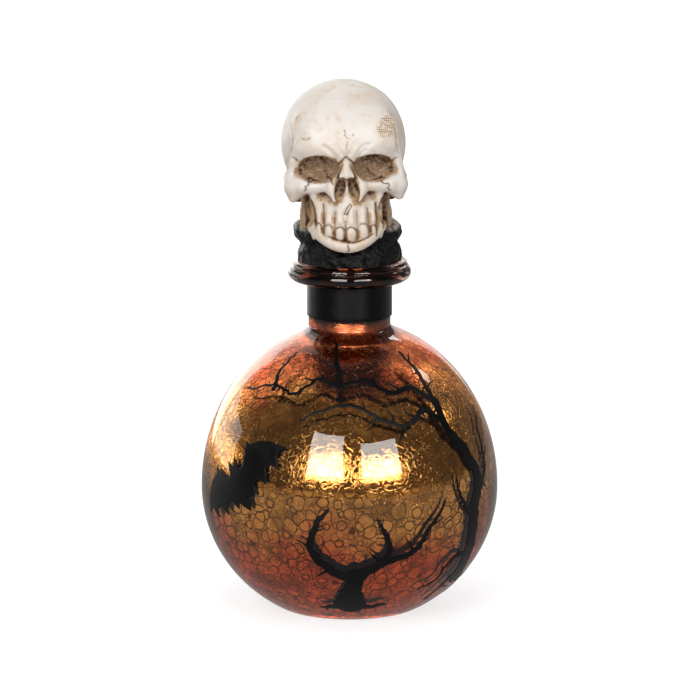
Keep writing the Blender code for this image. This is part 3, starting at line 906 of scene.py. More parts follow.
class PrintGrid:
    """The globe's outer face as a grid of azimuth by length up the side, with the depth inside the print."""

    def __init__(self):
        self.side = np.array(globe_side())
        self.lengths = np.concatenate([[0], np.cumsum(np.hypot(*np.diff(self.side, axis=0).T))])
        self.columns = round(math.tau * GLOBE_RADIUS / PRINT_CELL)
        self.way = np.linspace(0, self.lengths[-1], round(self.lengths[-1] / PRINT_CELL))
        self.azimuths = np.arange(self.columns) * math.tau / self.columns
        self.points = self.place(self.azimuths[:, None], self.way[None, :])
        self.depth = np.full(self.points.shape[:2], -FIELD_FAR)

    def level(self, way):
        """Radius and height at a length up the side."""
        return np.interp(way, self.lengths, self.side[:, 0]), np.interp(way, self.lengths, self.side[:, 1])

    def height_way(self, height):
        return np.interp(height, self.side[:, 1], self.lengths)

    def place(self, azimuth, way):
        radius, height = self.level(way)
        return np.stack(around_front(azimuth, radius, height), axis=-1)

    def stroke(self, start, end, start_width, end_width):
        """A tapered stroke between two points on the glass."""
        along = end - start
        near = np.linalg.norm(self.points - (start + end) / 2, axis=-1) < np.linalg.norm(along) + FIELD_REACH
        points = self.points[near]
        share = np.clip((points - start) @ along / (along @ along), 0, 1)
        gap = np.linalg.norm(points - start - share[:, None] * along, axis=-1)
        depth = start_width + (end_width - start_width) * share - gap
        self.depth[near] = np.maximum(self.depth[near], depth)


def around_front(azimuth, radius, height):
    """Places at an azimuth from the front."""
    return np.broadcast_arrays(radius * np.sin(azimuth), -radius * np.cos(azimuth), height)


def segment_gap(across, up, start, end):
    """Distance from points to the straight line between two."""
    (x0, y0), (x1, y1) = start, end
    along = (across - x0) * (x1 - x0) + (up - y0) * (y1 - y0)
    share = np.clip(along / ((x1 - x0) ** 2 + (y1 - y0) ** 2), 0, 1)
    return np.hypot(across - x0 - share * (x1 - x0), up - y0 - share * (y1 - y0))


def outline_depth(across, up, outline):
    """Depth inside a closed outline, negative outside."""
    gap = np.full(across.shape, np.inf)
    inside = np.zeros(across.shape, bool)
    for start, end in zip(outline, outline[1:] + outline[:1]):
        gap = np.minimum(gap, segment_gap(across, up, start, end))
        (x0, y0), (x1, y1) = start, end
        if y1 != y0:
            crosses = (y0 > up) != (y1 > up)
            inside ^= crosses & (across < (x1 - x0) * (up - y0) / (y1 - y0) + x0)
    return np.where(inside, gap, -gap)


def add_bat(grid, turn):
    sizes = [(across * BAT_HALF_SPAN, up * BAT_HALF_SPAN) for across, up in bat_side_shares]
    outline = sizes + [(-across, up) for across, up in sizes[-2:0:-1]]
    azimuth = (grid.azimuths - BAT_AZIMUTH - turn + math.pi) % math.tau - math.pi
    middle = grid.height_way(BAT_HEIGHT)
    across, up = np.meshgrid(azimuth * grid.level(middle)[0], grid.way - middle, indexing="ij")
    turned_across = across * math.cos(BAT_TILT) + up * math.sin(BAT_TILT)
    turned_up = up * math.cos(BAT_TILT) - across * math.sin(BAT_TILT)
    near = (abs(turned_across) < 1.1 * BAT_HALF_SPAN) & (abs(turned_up) < 0.7 * BAT_HALF_SPAN)
    depth = outline_depth(turned_across[near], turned_up[near], outline)
    grid.depth[near] = np.maximum(grid.depth[near], depth)


def smooth_route(route, steps):
    """Points along a curve through the given ones."""
    route = [route[0], *route, route[-1]]
    points = []
    for before, start, end, after in zip(route, route[1:], route[2:], route[3:]):
        bend = 2 * before - 5 * start + 4 * end - after
        twist = 3 * start - before - 3 * end + after
        for step in range(steps):
            share = step / steps
            points.append(0.5 * (2 * start + (end - before) * share + bend * share**2 + twist * share**3))
    return [*points, route[-1]]


def add_limb(grid, turn, widths, spots, random):
    """A limb of a tree as strokes on the glass, with crooked twigs that grow from its sides."""
    route = [np.array((math.radians(azimuth) + turn, grid.height_way(up * MM))) for azimuth, up in spots]
    route = smooth_route(route, LIMB_STEPS)
    wander = random.normal(0, LIMB_WANDER, (len(route), 2))
    places = []
    for (azimuth, way), (sideways, upwards) in zip(route, wander):
        radius = grid.level(way + upwards)[0]
        places.append(grid.place(azimuth + sideways / radius, way + upwards))
    last = len(places) - 1
    since_twig = 0.0
    side = 1
    for step, (start, end) in enumerate(zip(places, places[1:])):
        here, there = (widths[0] + (widths[1] - widths[0]) * (at / last) ** 0.8 for at in (step, step + 1))
        grid.stroke(start, end, here, there)
        since_twig += np.linalg.norm(end - start)
        if since_twig > TWIG_SPACING and step > 2:
            since_twig = 0.0
            side = -side
            add_twig(grid, route[step], route[step + 1], side, here, random)


def add_twig(grid, start, toward, side, limb_width, random):
    radius = grid.level(start[1])[0]
    heading = math.atan2(toward[1] - start[1], (toward[0] - start[0]) * radius)
    heading += side * random.uniform(0.5, 1.1)
    advance = TWIG_LENGTH * random.uniform(0.5, 1.1) / TWIG_STEPS
    width = min(limb_width, TWIG_MOST_WIDTH) * random.uniform(0.45, 0.75)
    spot = np.array(start)
    for step in range(TWIG_STEPS):
        heading += random.normal(0, 0.35)
        here = grid.place(*spot)
        radius = grid.level(spot[1])[0]
        spot = spot + np.array((advance * math.cos(heading) / radius, advance * math.sin(heading)))
        thick, thin = (width * (1 - 0.75 * at / TWIG_STEPS) for at in (step, step + 1))
        grid.stroke(here, grid.place(*spot), thick, thin)


def film_faces(grid):
    """Places on the grid, and faces, of the part that lies inside the print, cut along its true edge."""
    inside = grid.depth > 0
    touched = inside[:, :-1] | inside[:, 1:]
    touched |= np.roll(touched, -1, axis=0)
    numbers, places, faces = {}, [], []

    def number(key, place):
        if key not in numbers:
            numbers[key] = len(places)
            places.append(place)
        return numbers[key]

    for column, row in np.argwhere(touched):
        corners = ((column, row), (column + 1, row), (column + 1, row + 1), (column, row + 1))
        face = []
        for start, end in zip(corners, corners[1:] + corners[:1]):
            start_key, end_key = ((at[0] % grid.columns, at[1]) for at in (start, end))
            start_depth, end_depth = grid.depth[start_key], grid.depth[end_key]
            if start_depth > 0:
                face.append(number(start_key, start))
            if (start_depth > 0) != (end_depth > 0):
                share = start_depth / (start_depth - end_depth)
                between = tuple(first + (second - first) * share for first, second in zip(start, end))
                face.append(number(frozenset((start_key, end_key)), between))
        if len(face) > 2:
            faces.append(face)
    return np.array(places, float), faces


def film_mesh(name, grid):
    """The print, lifted a little off the glass."""
    places, faces = film_faces(grid)
    azimuth = places[:, 0] * math.tau / grid.columns
    way = places[:, 1] * grid.way[1]
    radius, height = grid.level(way)
    behind, ahead = grid.level(way - PRINT_CELL), grid.level(way + PRINT_CELL)
    slope = np.arctan2(ahead[1] - behind[1], ahead[0] - behind[0])
    lifted = around_front(azimuth, radius + PRINT_LIFT * np.sin(slope), height - PRINT_LIFT * np.cos(slope))
    return new_mesh(name, np.stack(lifted, axis=-1).tolist(), faces)


def make_prints():
    material = print_material()
    bats, trees = PrintGrid(), PrintGrid()
    random = np.random.default_rng(TWIG_SEED)
    for number in range(PRINT_SETS):
        turn = math.tau * number / PRINT_SETS
        add_bat(bats, turn)
        for foot, tip, spots in tree_limbs.values():
            add_limb(trees, turn, (foot * MM, tip * MM), spots, random)
    trees.depth = np.where(bats.depth > -PRINT_GAP, -FIELD_FAR, trees.depth)
    for name, grid in (("bat_prints", bats), ("tree_prints", trees)):
        film = add_piece(name, film_mesh(name, grid), material, "bottle")
        thicken = film.modifiers.new("film", "SOLIDIFY")
        thicken.thickness = PRINT_THICKNESS
        thicken.offset = 1.0


# Ribbon


def ribbon_material():
    """Black satin with ribs across it and threads along it; its sheen runs up and down."""
    material = new_material("satin_ribbon")
    place = object_place(material)
    tree = material.node_tree
    across, along, _ = parts(add_node(tree, "UVMap", uv_map="weave")[0])
    ribs, threads = (calculate("SINE", way * (math.tau * count)) for way, count in ((across, 2), (along, 60)))
    return dressed(material, {
        "Base Color": mixed(patches(place, "ribbon_wear"), tone(5, 5, 6), tone(8, 7, 9)),
        "Specular IOR Level": 0.19,
        "Anisotropic": 0.9,
        "Tangent": add_node(tree, "CombineXYZ", {2: 1.0})[0],
        "Sheen Weight": 0.02,
        "Sheen Roughness": 0.4,
        "Sheen Tint": tone(150, 140, 140),
        "Roughness": ramp(grain(place, "ribbon"), 0.3, 0.7, 0.26, 0.34),
        "Normal": bump(threads * 0.4 + ribs, "ribbon_weave"),
    })


def ribbon_inner_radius(travel, inner, around):
    """The radius of the ribbon's inner face, which climbs at the back over the ribbon's start."""
    climb = min(max((travel - (around - RIBBON_RISE_LENGTH)) / RIBBON_RISE_LENGTH, 0), 1)
    return inner + climb * climb * (3 - 2 * climb) * (RIBBON_THICKNESS + SEAT_GAP)


def make_ribbon():
    """One ribbed strip round the neck with small loops along its edges; its end laps over its start."""
    inner = NECK_RADIUS + SEAT_GAP
    around = math.tau * inner
    length = around + RIBBON_LAP
    low, high = neck_foot_height() + BARE_NECK_LENGTH, neck_top_height() - RIBBON_EDGE_GAP
    steps = 4 * round(length / RIB_PITCH)
    levels = 10
    points, weave = [], []
    for step in range(steps + 1):
        travel = length * step / steps
        near = ribbon_inner_radius(travel, inner, around)
        rib = 0.5 + 0.5 * math.cos(math.tau * travel / RIB_PITCH)
        bottom, top = low + PICOT_DEPTH * (1 - rib), high - PICOT_DEPTH * (1 - rib)
        section = [(near, bottom + (top - bottom) * level / levels) for level in range(levels + 1)]
        outside = near + RIBBON_THICKNESS - RIB_DEPTH * (1 - rib)
        section += [(outside, height) for _, height in section[::-1]]
        for radius, height in section:
            points.append(around_axis(radius, math.pi / 2 + travel / inner, height))
            weave.append((travel / RIB_PITCH, (height - low) / (high - low)))
    count = 2 * (levels + 1)
    faces = grid_faces(steps + 1, count, columns_close=True)
    faces.append(tuple(range(count))[::-1])
    faces.append(tuple(range(steps * count, (steps + 1) * count)))
    mesh = new_mesh("ribbon", points, faces)
    layer = mesh.uv_layers.new(name="weave")
    for loop in mesh.loops:
        layer.data[loop.index].uv = weave[loop.vertex_index]
    ribbon = add_piece("ribbon", mesh, ribbon_material(), "bottle", ["neck_ribbon"])


# Cork


def cork_material():
    material = new_material("cork_bark")
    place = object_place(material)
    shade, pits = patches(place, "cork_shade"), patches(place, "cork_pits")
    base = mixed(shade, tone(176, 128, 80), tone(206, 164, 112))
    lined = mixed(crackle(place, "cork_cells")["Line"] * 0.5, base, tone(118, 74, 40))
    return dressed(material, {
        "Base Color": mixed(pits, lined, tone(70, 42, 24)),
        "Roughness": ramp(shade, 0, 1, 0.85, 0.7),
        "Normal": bump(grain(place, "cork") - pits * 1.5, "cork_bark"),
    })


def dress_cork():
    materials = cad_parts["cork"].data.materials
    materials.clear()
    materials.append(cork_material())


# Collar


def collar_side():
    """Radii and heights of the collar's side, from its base to its top, without the folds."""
    shares = (
        (COLLAR_BASE_RADIUS, 0.0),
        (COLLAR_BASE_RADIUS, 0.26),
        (COLLAR_WAIST_RADIUS, 0.46),
        (COLLAR_FLANGE_RADIUS, 0.66),
        (COLLAR_FLANGE_RADIUS, 0.87),
        (COLLAR_TOP_RADIUS, 1.0),
    )
    return [np.array((radius, COLLAR_HEIGHT * share)) for radius, share in shares]


def collar_base_height():
    return mouth_height() + SEAT_GAP


def collar_top_height():
    return collar_base_height() + COLLAR_HEIGHT


def collar_shift(height):
    """How far the collar leans sideways at a height above its base."""
    rise = (height - CORK_RECESS_DEPTH) / (COLLAR_HEIGHT - CORK_RECESS_DEPTH)
    return COLLAR_TOP_SHIFT * np.maximum(rise, 0)


def rounded_off(points, times):
    """The outline with its corners cut, more finely each time; its ends stay."""
    for _ in range(times):
        cut = [points[0]]
        for start, end in zip(points, points[1:]):
            cut += [start * 0.75 + end * 0.25, start * 0.25 + end * 0.75]
        points = [*cut, points[-1]]
    return points


def collar_folds(angle, rise):
    """Crumpled folds, from -1 to 1, that die out at the base and the top."""
    waves = sum(share * math.sin(turns * angle + lean * rise + start)
                for share, turns, lean, start in collar_wave_shares)
    return waves * math.sin(math.pi * rise) ** 0.6


def collar_material():
    """Black with a little dust, and pale brush marks round its top where the skull was painted."""
    material = new_material("black_resin")
    place = object_place(material)
    _, back, height = parts(place)
    dust = patches(place, "collar_dust")
    black = mixed(dust, tone(6, 6, 7), tone(18, 17, 18))
    brushed = blend(height - collar_top_height(), "brush_under_top") * patches(place, "collar_brush")
    brushed = brushed * blend(back, "brush_from_front")
    lumps = bump(patches(place, "collar_lumps"), "collar_lumps")
    return dressed(material, {
        "Base Color": mixed(brushed, black, tone(196, 184, 172)),
        "Specular IOR Level": 0.2,
        "Roughness": ramp(dust, 0, 1, 0.42, 0.62),
        "Normal": bump(grain(place, "collar"), "collar_grain", lumps),
    })


def make_collar():
    recess = CORK_RADIUS + SEAT_GAP
    outline = [(0.0, CORK_RECESS_DEPTH), (recess, CORK_RECESS_DEPTH), (recess, 0.0),
               *rounded_off(collar_side(), 3), (0.0, COLLAR_HEIGHT)]
    mesh = turned_mesh("collar", [tuple(point) for point in outline], COLLAR_STEPS)
    inner_limit = (COLLAR_WAIST_RADIUS + CORK_RADIUS) / 2
    for vert in mesh.vertices:
        radius = math.hypot(vert.co.x, vert.co.y)
        height = vert.co.z
        if radius > inner_limit:
            angle = math.atan2(vert.co.y, vert.co.x)
            grown = 1 + collar_folds(angle, min(height / COLLAR_HEIGHT, 1)) * COLLAR_FOLD_DEPTH / radius
            vert.co.x *= grown
            vert.co.y *= grown
        vert.co.x += float(collar_shift(height))
        vert.co.z += collar_base_height()
    mesh.set_sharp_from_angle(angle=math.radians(60))
    add_piece("collar", mesh, collar_material(), "stopper_head", ["skull_collar"])


# Skull


def melted(first, second, melt):
    """The nearer of two distances, with a soft join."""
    blended = np.maximum(melt - abs(first - second), 0) / melt
    return np.minimum(first, second) - blended * blended * melt / 4


def swung(x, z, turn):
    """Places turned about Y."""
    return x * math.cos(turn) - z * math.sin(turn), x * math.sin(turn) + z * math.cos(turn)


def length_in(x, y, z, radii):
    """How far places lie from the middle, with these radii as the measures along the axes."""
    return np.sqrt((x / radii[0]) ** 2 + (y / radii[1]) ** 2 + (z / radii[2]) ** 2)


class Clay:
    """Distances to the skull's surface on a grid in its own frame, negative inside."""

    def __init__(self, low, high, cell):
        self.low, self.cell = np.array(low), cell
        self.axes = [np.arange(start, end, cell) for start, end in zip(low, high)]
        self.values = np.full([len(axis) for axis in self.axes], FIELD_FAR, np.float32)

    def window(self, low, high):
        """The grid's slices and coordinates within a box."""
        slices = []
        for axis, start, end in zip(self.axes, low, high):
            slices.append(slice(*np.searchsorted(axis, (start, end))))
        x, y, z = (axis[part] for axis, part in zip(self.axes, slices))
        return tuple(slices), x[:, None, None], y[None, :, None], z[None, None, :]

    def merge(self, slices, distance, melt, hollow):
        current = self.values[slices]
        if hollow:
            self.values[slices] = -melted(-current, distance, melt)
        else:
            self.values[slices] = melted(current, distance, melt)

    def lump(self, centre, radii, turn, melt, hollow=False):
        reach = max(radii) + melt + FIELD_REACH
        slices, x, y, z = self.window(np.subtract(centre, reach), np.add(centre, reach))
        x, y, z = x - centre[0], y - centre[1], z - centre[2]
        x, z = swung(x, z, turn)
        near = length_in(x, y, z, radii)
        steep = length_in(x, y, z, [radius**2 for radius in radii])
        self.merge(slices, near * (near - 1) / np.maximum(steep, 1e-6), melt, hollow)

    def rod(self, points, radii, stretch, melt):
        """A round rod through some points, deeper than wide where it is stretched."""
        points = np.array(points)
        reach = max(radii) * stretch + melt + FIELD_REACH
        slices, x, y, z = self.window(points.min(axis=0) - reach, points.max(axis=0) + reach)
        distance = FIELD_FAR
        for start, end, start_radius, end_radius in zip(points, points[1:], radii, radii[1:]):
            along = end - start
            dx, dy, dz = x - start[0], y - start[1], z - start[2]
            share = np.clip((dx * along[0] + dy * along[1] + dz * along[2]) / (along @ along), 0, 1)
            gap = np.sqrt((dx - share * along[0]) ** 2 + ((dy - share * along[1]) / stretch) ** 2
                          + (dz - share * along[2]) ** 2)
            distance = np.minimum(distance, gap - start_radius - share * (end_radius - start_radius))
        self.merge(slices, distance, melt, False)

    def sample(self, points):
        """Distances at any points, read between the grid's own."""
        places = (points - self.low) / self.cell
        corner = np.clip(np.floor(places).astype(int), 0, np.array(self.values.shape) - 2)
        share = np.clip(places - corner, 0, 1)
        total = np.zeros(len(points))
        for offset in np.ndindex(2, 2, 2):
            weight = np.prod(np.where(offset, share, 1 - share), axis=1)
            total += weight * self.values[tuple((corner + offset).T)]
        return total

    def slope(self, points):
        """The way straight out of the surface, as unit vectors."""
        steps = np.eye(3) * self.cell
        slope = np.stack([self.sample(points + step) - self.sample(points - step) for step in steps], axis=1)
        return slope / np.maximum(np.linalg.norm(slope, axis=1), 1e-12)[:, None]

    def skin(self):
        """Points and faces of the surface where the distance is zero."""
        inside = self.values < 0
        total = np.zeros([count - 1 for count in inside.shape], np.int8)
        for offset in np.ndindex(2, 2, 2):
            total += inside[tuple(slice(start, start + count) for start, count in zip(offset, total.shape))]
        cells = np.argwhere((total > 0) & (total < 8))
        numbers = np.full(total.shape, -1, np.int32)
        numbers[tuple(cells.T)] = np.arange(len(cells))
        return self.skin_points(cells), self.skin_faces(inside, numbers)

    def skin_points(self, cells):
        """One point for each cell that the surface crosses: the mean of the crossings on the cell's edges."""
        sums, counts = np.zeros((len(cells), 3)), np.zeros(len(cells))
        for offset in np.ndindex(2, 2, 2):
            for axis in np.flatnonzero(np.equal(offset, 0)):
                along = np.eye(3, dtype=int)[axis]
                start = self.values[tuple((cells + offset).T)]
                end = self.values[tuple((cells + offset + along).T)]
                crosses = (start < 0) != (end < 0)
                share = np.where(crosses, start / np.where(crosses, start - end, 1), 0)
                spot = np.array(offset) + share[:, None] * along
                sums += np.where(crosses[:, None], spot, 0)
                counts += crosses
        return self.low + (cells + sums / counts[:, None]) * self.cell

    @staticmethod
    def skin_faces(inside, numbers):
        """A face round each of the grid's edges that the surface crosses, turned to look outward."""
        faces = []
        for axis in range(3):
            first, second = (axis + 1) % 3, (axis + 2) % 3
            before = np.moveaxis(inside, axis, 0)
            changes = np.argwhere(before[:-1] != before[1:])
            order = [axis] + [other for other in range(3) if other != axis]
            places = np.empty_like(changes)
            places[:, order] = changes
            leaving = inside[tuple(places.T)]
            corners = []
            for first_back, second_back in ((1, 1), (0, 1), (0, 0), (1, 0)):
                at = places.copy()
                at[:, first] -= first_back
                at[:, second] -= second_back
                corners.append(numbers[tuple(at.T)])
            quads = np.stack(corners, axis=1)
            quads[~leaving] = quads[~leaving][:, ::-1]
            faces.append(quads)
        return np.concatenate(faces)


def skull_sized(shares):
    sizes = (SKULL_HALF_WIDTH, SKULL_HALF_DEPTH, SKULL_CROWN_HEIGHT)
    return [share * size for share, size in zip(shares, sizes)]


def mirrored(place):
    return (-place[0], *place[1:])


def add_lumps(clay, table, hollow=False):
    for centre_shares, radius_shares, turn, melt in table.values():
        centre, radii, turn = skull_sized(centre_shares), skull_sized(radius_shares), math.radians(turn)
        clay.lump(centre, radii, turn, melt, hollow)
        if centre[0]:
            clay.lump(mirrored(centre), radii, -turn, melt, hollow)


def add_bars(clay, table):
    for start_shares, end_shares, start_share, end_share, stretch, melt in table.values():
        start, end = skull_sized(start_shares), skull_sized(end_shares)
        radii = (start_share * SKULL_HALF_WIDTH, end_share * SKULL_HALF_WIDTH)
        clay.rod((start, end), radii, stretch, melt)
        if start[0]:
            clay.rod((mirrored(start), mirrored(end)), radii, stretch, melt)


def add_teeth(clay):
    arch_width, arch_depth = tooth_arch_shares[0] * SKULL_HALF_WIDTH, tooth_arch_shares[1] * SKULL_HALF_DEPTH
    bed = skull_sized(skull_lump_shares["tooth_bed"][0])
    for place_share, width_share in tooth_shares:
        across = place_share * SKULL_HALF_WIDTH
        front = bed[1] - arch_depth * math.sqrt(1 - (across / arch_width) ** 2) + TOOTH_BED_INSET
        foot = (across, front, TOOTH_CROWN_HEIGHT)
        root = (across, front + TOOTH_ROOT_SLANT, TOOTH_ROOT_HEIGHT)
        clay.rod((foot, root), (TOOTH_ROOT_RADIUS, TOOTH_ROOT_TIP_RADIUS), 1.0, CRISP)
        crown = (width_share * SKULL_HALF_WIDTH, TOOTH_CROWN_DEPTH, TOOTH_CROWN_HEIGHT)
        clay.lump((across, front, 0), crown, 0, CRISP / 2)


def jaw_point(angle):
    across = JAW_HALF_WIDTH * math.sin(angle)
    back = -JAW_CENTRE_BACK - JAW_DEPTH * math.cos(angle)
    return (across, back, JAW_END_RISE * math.sin(angle) ** 2 - JAW_DROP)


def add_lower_jaw(clay):
    points = [jaw_point(JAW_SPAN * (2 * step / JAW_STEPS - 1)) for step in range(JAW_STEPS + 1)]
    clay.rod(points, [JAW_RADIUS] * len(points), 1.0, FIRM)


def line_gap(x, z, table):
    """Distance from points, seen from the front, to the nearest of a table's lines."""
    gap = np.full(np.broadcast(x, z).shape, LINE_REACH)
    for line in table.values():
        route = [(across * SKULL_HALF_WIDTH, up * SKULL_CROWN_HEIGHT) for across, up in line]
        for start, end in zip(route, route[1:]):
            gap = np.minimum(gap, segment_gap(x, z, start, end))
    return gap


def carve_lines(clay, table, width, depth):
    """Presses shallow lines into the front of the face."""
    gap = line_gap(clay.axes[0][:, None], clay.axes[2][None, :], table)
    pressed = (depth * np.exp(-((gap / width) ** 2)))[:, None, :]
    front = clay.axes[1] < 0
    clay.values[:, front, :] += np.where(gap[:, None, :] < LINE_REACH, pressed, 0).astype(np.float32)


def skull_matrix():
    place = Matrix.Translation((SKULL_SET_OFF, 0, collar_top_height()))
    return place @ Matrix.Rotation(SKULL_YAW, 4, "Z") @ Matrix.Rotation(SKULL_LEAN, 4, "Y")


def clear_collar(clay):
    """Takes away what the collar fills, with a clearance."""
    matrix = np.array(skull_matrix())
    x, y, z = np.meshgrid(*clay.axes, indexing="ij", sparse=True)
    across, back, up = (row[0] * x + row[1] * y + row[2] * z + row[3] for row in matrix[:3])
    up = up - collar_base_height()
    side = np.array(collar_side())
    radius = np.interp(up, side[:, 1], side[:, 0]) + COLLAR_FOLD_DEPTH + SEAT_GAP
    space = np.maximum(np.hypot(across - collar_shift(up), back) - radius, up - COLLAR_HEIGHT - SEAT_GAP)
    clay.values = np.maximum(clay.values, -space).astype(np.float32)


def model_skull():
    clay = Clay(*(skull_sized(shares) for shares in clay_corner_shares), SKULL_CELL)
    add_lumps(clay, skull_lump_shares)
    add_bars(clay, skull_bar_shares)
    add_lumps(clay, skull_hollow_shares, hollow=True)
    add_bars(clay, skull_late_bar_shares)
    add_lumps(clay, skull_late_hollow_shares, hollow=True)
    add_lower_jaw(clay)
    add_teeth(clay)
    carve_lines(clay, groove_shares, GROOVE_WIDTH, GROOVE_DEPTH)
    carve_lines(clay, fold_shares, FOLD_WIDTH, FOLD_DEPTH)
    carve_lines(clay, temple_shares, TEMPLE_WIDTH, TEMPLE_DEPTH)
    carve_lines(clay, crack_shares, CRACK_WIDTH, CRACK_DEPTH)
    clear_collar(clay)
    return clay


def hollowness(clay, points, normals, reaches):
    """How enclosed each point is, from 0 in the open to 1, at some distances from the surface."""
    total = np.zeros(len(points))
    for reach in reaches:
        total += np.clip(1 - clay.sample(points + normals * reach) / reach, 0, 1)
    return total / len(reaches)


def socket_depth(points):
    """1 deep inside the face's hollows, falling to 0 at their rims."""
    total = np.zeros(len(points))
    washed = {**skull_hollow_shares, **skull_late_hollow_shares, **skull_wash_shares}
    for name in ("eye", "cheek", "under_arch", "nose", "jaw_side"):
        centre_shares, radius_shares, turn = washed[name][:3]
        centre, radii = skull_sized(centre_shares), skull_sized(radius_shares)
        for side in (1, -1):
            x, z = swung(points[:, 0] * side - centre[0], points[:, 2] - centre[2], math.radians(turn))
            y = points[:, 1] - centre[1]
            within = np.clip((1.15 - length_in(x, y, z, radii)) / 0.12, 0, 1)
            # Stronger toward the back of each hollow: more wash there, and painted shade deeper in
            total = np.maximum(total, within * (0.45 + 0.55 * np.clip(y / radii[1] + 0.1, 0, 1)))
    return total


def hatching(place):
    """Crossed brush strokes, broken up."""
    across, _, up = parts(place)
    strokes = [ramp(calculate("SINE", (other * 0.15 + way) * (math.tau / HATCH_PITCH)), 0.1, 0.7)
               for way, other in ((across, up), (up, across))]
    return greatest(*strokes) * patches(place, "hatch_breaks")


def bone_material():
    """Aged ivory resin: brown wash in the hollows and lines, painted shade under the sockets' roofs, stains,
    and a fine grain.
    """
    material = new_material("aged_ivory")
    place = object_place(material)
    groove, hollow, socket, roof_shade, patch = (attribute(material, name) for name in
                                           ("groove", "hollow", "socket", "roof_shade", "patch"))
    soft_gap, sharp_gap, stain_gap = (attribute(material, name) for name in line_marks)
    streaks, blotches = patches(place, "ivory_streaks"), patches(place, "ivory_blotches")
    chin = collar_top_height()
    low_face = ramp(parts(place)[2], chin, chin + 0.4 * SKULL_CROWN_HEIGHT, 0.3, 0.0)
    ivory = mixed(patches(place, "ivory_shade"), tone(236, 229, 222), tone(229, 216, 201))
    colour = mixed(patches(place, "ivory_warmth") * 0.5 + low_face, ivory, tone(214, 184, 146))
    wash = ramp(hollow, 0.14, 0.55) + ramp(groove, 0.12, 0.5) + ramp(socket, 0.0, 0.6, 0.0, 1.3)
    wash = calculate("MULTIPLY", wash, streaks * 0.8 + 0.3, clamp=True)
    # Painted shade: the sockets darken where their faces look down, under the brows
    socket_roof_shade = ramp(socket, 0.2, 0.7, 0.0, 1.3) * roof_shade * (blotches * 0.7 + 0.5)
    # The darkest brown: the wash deep in the hollows and grooves, plus the painted shade under the sockets'
    # roofs
    deep = ramp(hollow, 0.5, 0.95) + ramp(groove, 0.36, 0.8) + socket_roof_shade
    deep = calculate("MULTIPLY", deep, streaks * 0.7 + 0.2, clamp=True)
    crack = blend(sharp_gap, "crack", 0.85, 0.0)
    stain = blend(stain_gap, "stain", 0.8, 0.0) * patches(place, "ivory_stains")
    layers = (
        (wash, (182, 146, 106)),
        (deep, (72, 47, 29)),
        (blend(sharp_gap, "halo", 0.6, 0.0) * streaks, (150, 108, 64)),
        (blend(soft_gap, "groove", 0.9, 0.0) * (1 - blotches * 0.5), (112, 76, 46)),
        (crack, (84, 52, 30)),
        (greatest(stain, hatching(place) * ramp(patch, 0.0, 0.35)), (176, 130, 78)),
    )
    for share, paint in layers:
        colour = mixed(share, colour, tone(*paint))
    pits = bump(streaks * wash, "ivory_pits", bump(grain(place, "ivory"), "ivory_grain"))
    return dressed(material, {
        "Base Color": colour,
        "Roughness": ramp(wash, 0, 1, 0.5, 0.72),
        "Normal": bump(crack, "ivory_cracks", pits, invert=True),
    })


def make_skull():
    clay = model_skull()
    points, faces = clay.skin()
    for _ in range(2):
        points = points - clay.slope(points) * clay.sample(points)[:, None]
    normals = clay.slope(points)
    matrix = np.array(skull_matrix())
    placed = points @ matrix[:3, :3].T + matrix[:3, 3]
    mesh = new_mesh("skull", placed.tolist(), faces.tolist())
    front = normals[:, 1] < 0.1
    x, z = points[:, 0], points[:, 2]
    patch_x, patch_z = PATCH_CENTRE_SHARES[0] * SKULL_HALF_WIDTH, PATCH_CENTRE_SHARES[1] * SKULL_CROWN_HEIGHT
    patch = np.clip(1 - np.hypot(x - patch_x, z - patch_z) / PATCH_RADIUS, 0, 1)
    marks = {
        "groove": hollowness(clay, points, normals, GROOVE_REACHES),
        "hollow": hollowness(clay, points, normals, HOLLOW_REACHES),
        "socket": socket_depth(points),
        # Painted shade: highest where the surface faces down, as under the sockets' roofs
        "roof_shade": np.clip(0.6 - 0.8 * normals[:, 2], 0.05, 1),
        "patch": np.where(front, patch, 0),
    }
    for name, table in line_marks.items():
        marks[name] = np.where(front, line_gap(x, z, table), LINE_REACH)
    for name, values in marks.items():
        layer = mesh.attributes.new(name, "FLOAT", "POINT")
        layer.data.foreach_set("value", np.asarray(values, np.float32))
    add_piece("skull_casting", mesh, bone_material(), "stopper_head", ["skull"])


# Studio


def backdrop_rays(tree):
    """1 for the rays that show the white background."""
    rays = add_node(tree, "LightPath")
    return greatest(rays["Is Camera Ray"], rays["Is Glossy Ray"], rays["Is Transmission Ray"])


def add_stage(name, mesh, material):
    thing = add_object(name, mesh)
    mesh.materials.append(material)
    return thing


def add_glowing(name, mesh, strength):
    """A board that glows for mirroring and clear surfaces and is hidden from all else."""
    material = dressed(new_material(name), {
        "Base Color": tone(0, 0, 0),
        "Roughness": 1.0,
        "Specular IOR Level": 0.0,
        "Emission Color": tone(255, 253, 250),
        "Emission Strength": strength,
    })
    board = add_stage(name, mesh, material)
    board.visible_camera = False
    board.visible_diffuse = False
    board.visible_shadow = False


def make_floor():
    half = FLOOR_SIDE / 2
    corners = [(-half, -half, 0), (half, -half, 0), (half, half, 0), (-half, half, 0)]
    material = new_material("pale_floor")
    tree = material.node_tree
    away = add_node(tree, "VectorMath", {0: object_place(material)}, operation="LENGTH")["Value"]
    dressed(material, {
        "Base Color": tone(190, 190, 190),
        "Roughness": 0.9,
        "Emission Color": tone(255, 255, 255),
        "Emission Strength": backdrop_rays(tree) * blend(away, "floor_glow", 0.7, 0.85),
    })
    add_stage("floor", new_mesh("floor", corners, [(0, 1, 2, 3)]), material)


def make_mat():
    """A grey mat round the foot."""
    points = []
    for step in range(MAT_STEPS):
        for radius in (FOOT_RADIUS, BOARD_DISTANCE):
            points.append(around_axis(radius, math.tau * step / MAT_STEPS, MAT_LIFT))
    add_glowing("mat", new_mesh("mat", points, grid_faces(MAT_STEPS, 2, rows_close=True)), MAT_GLOW)


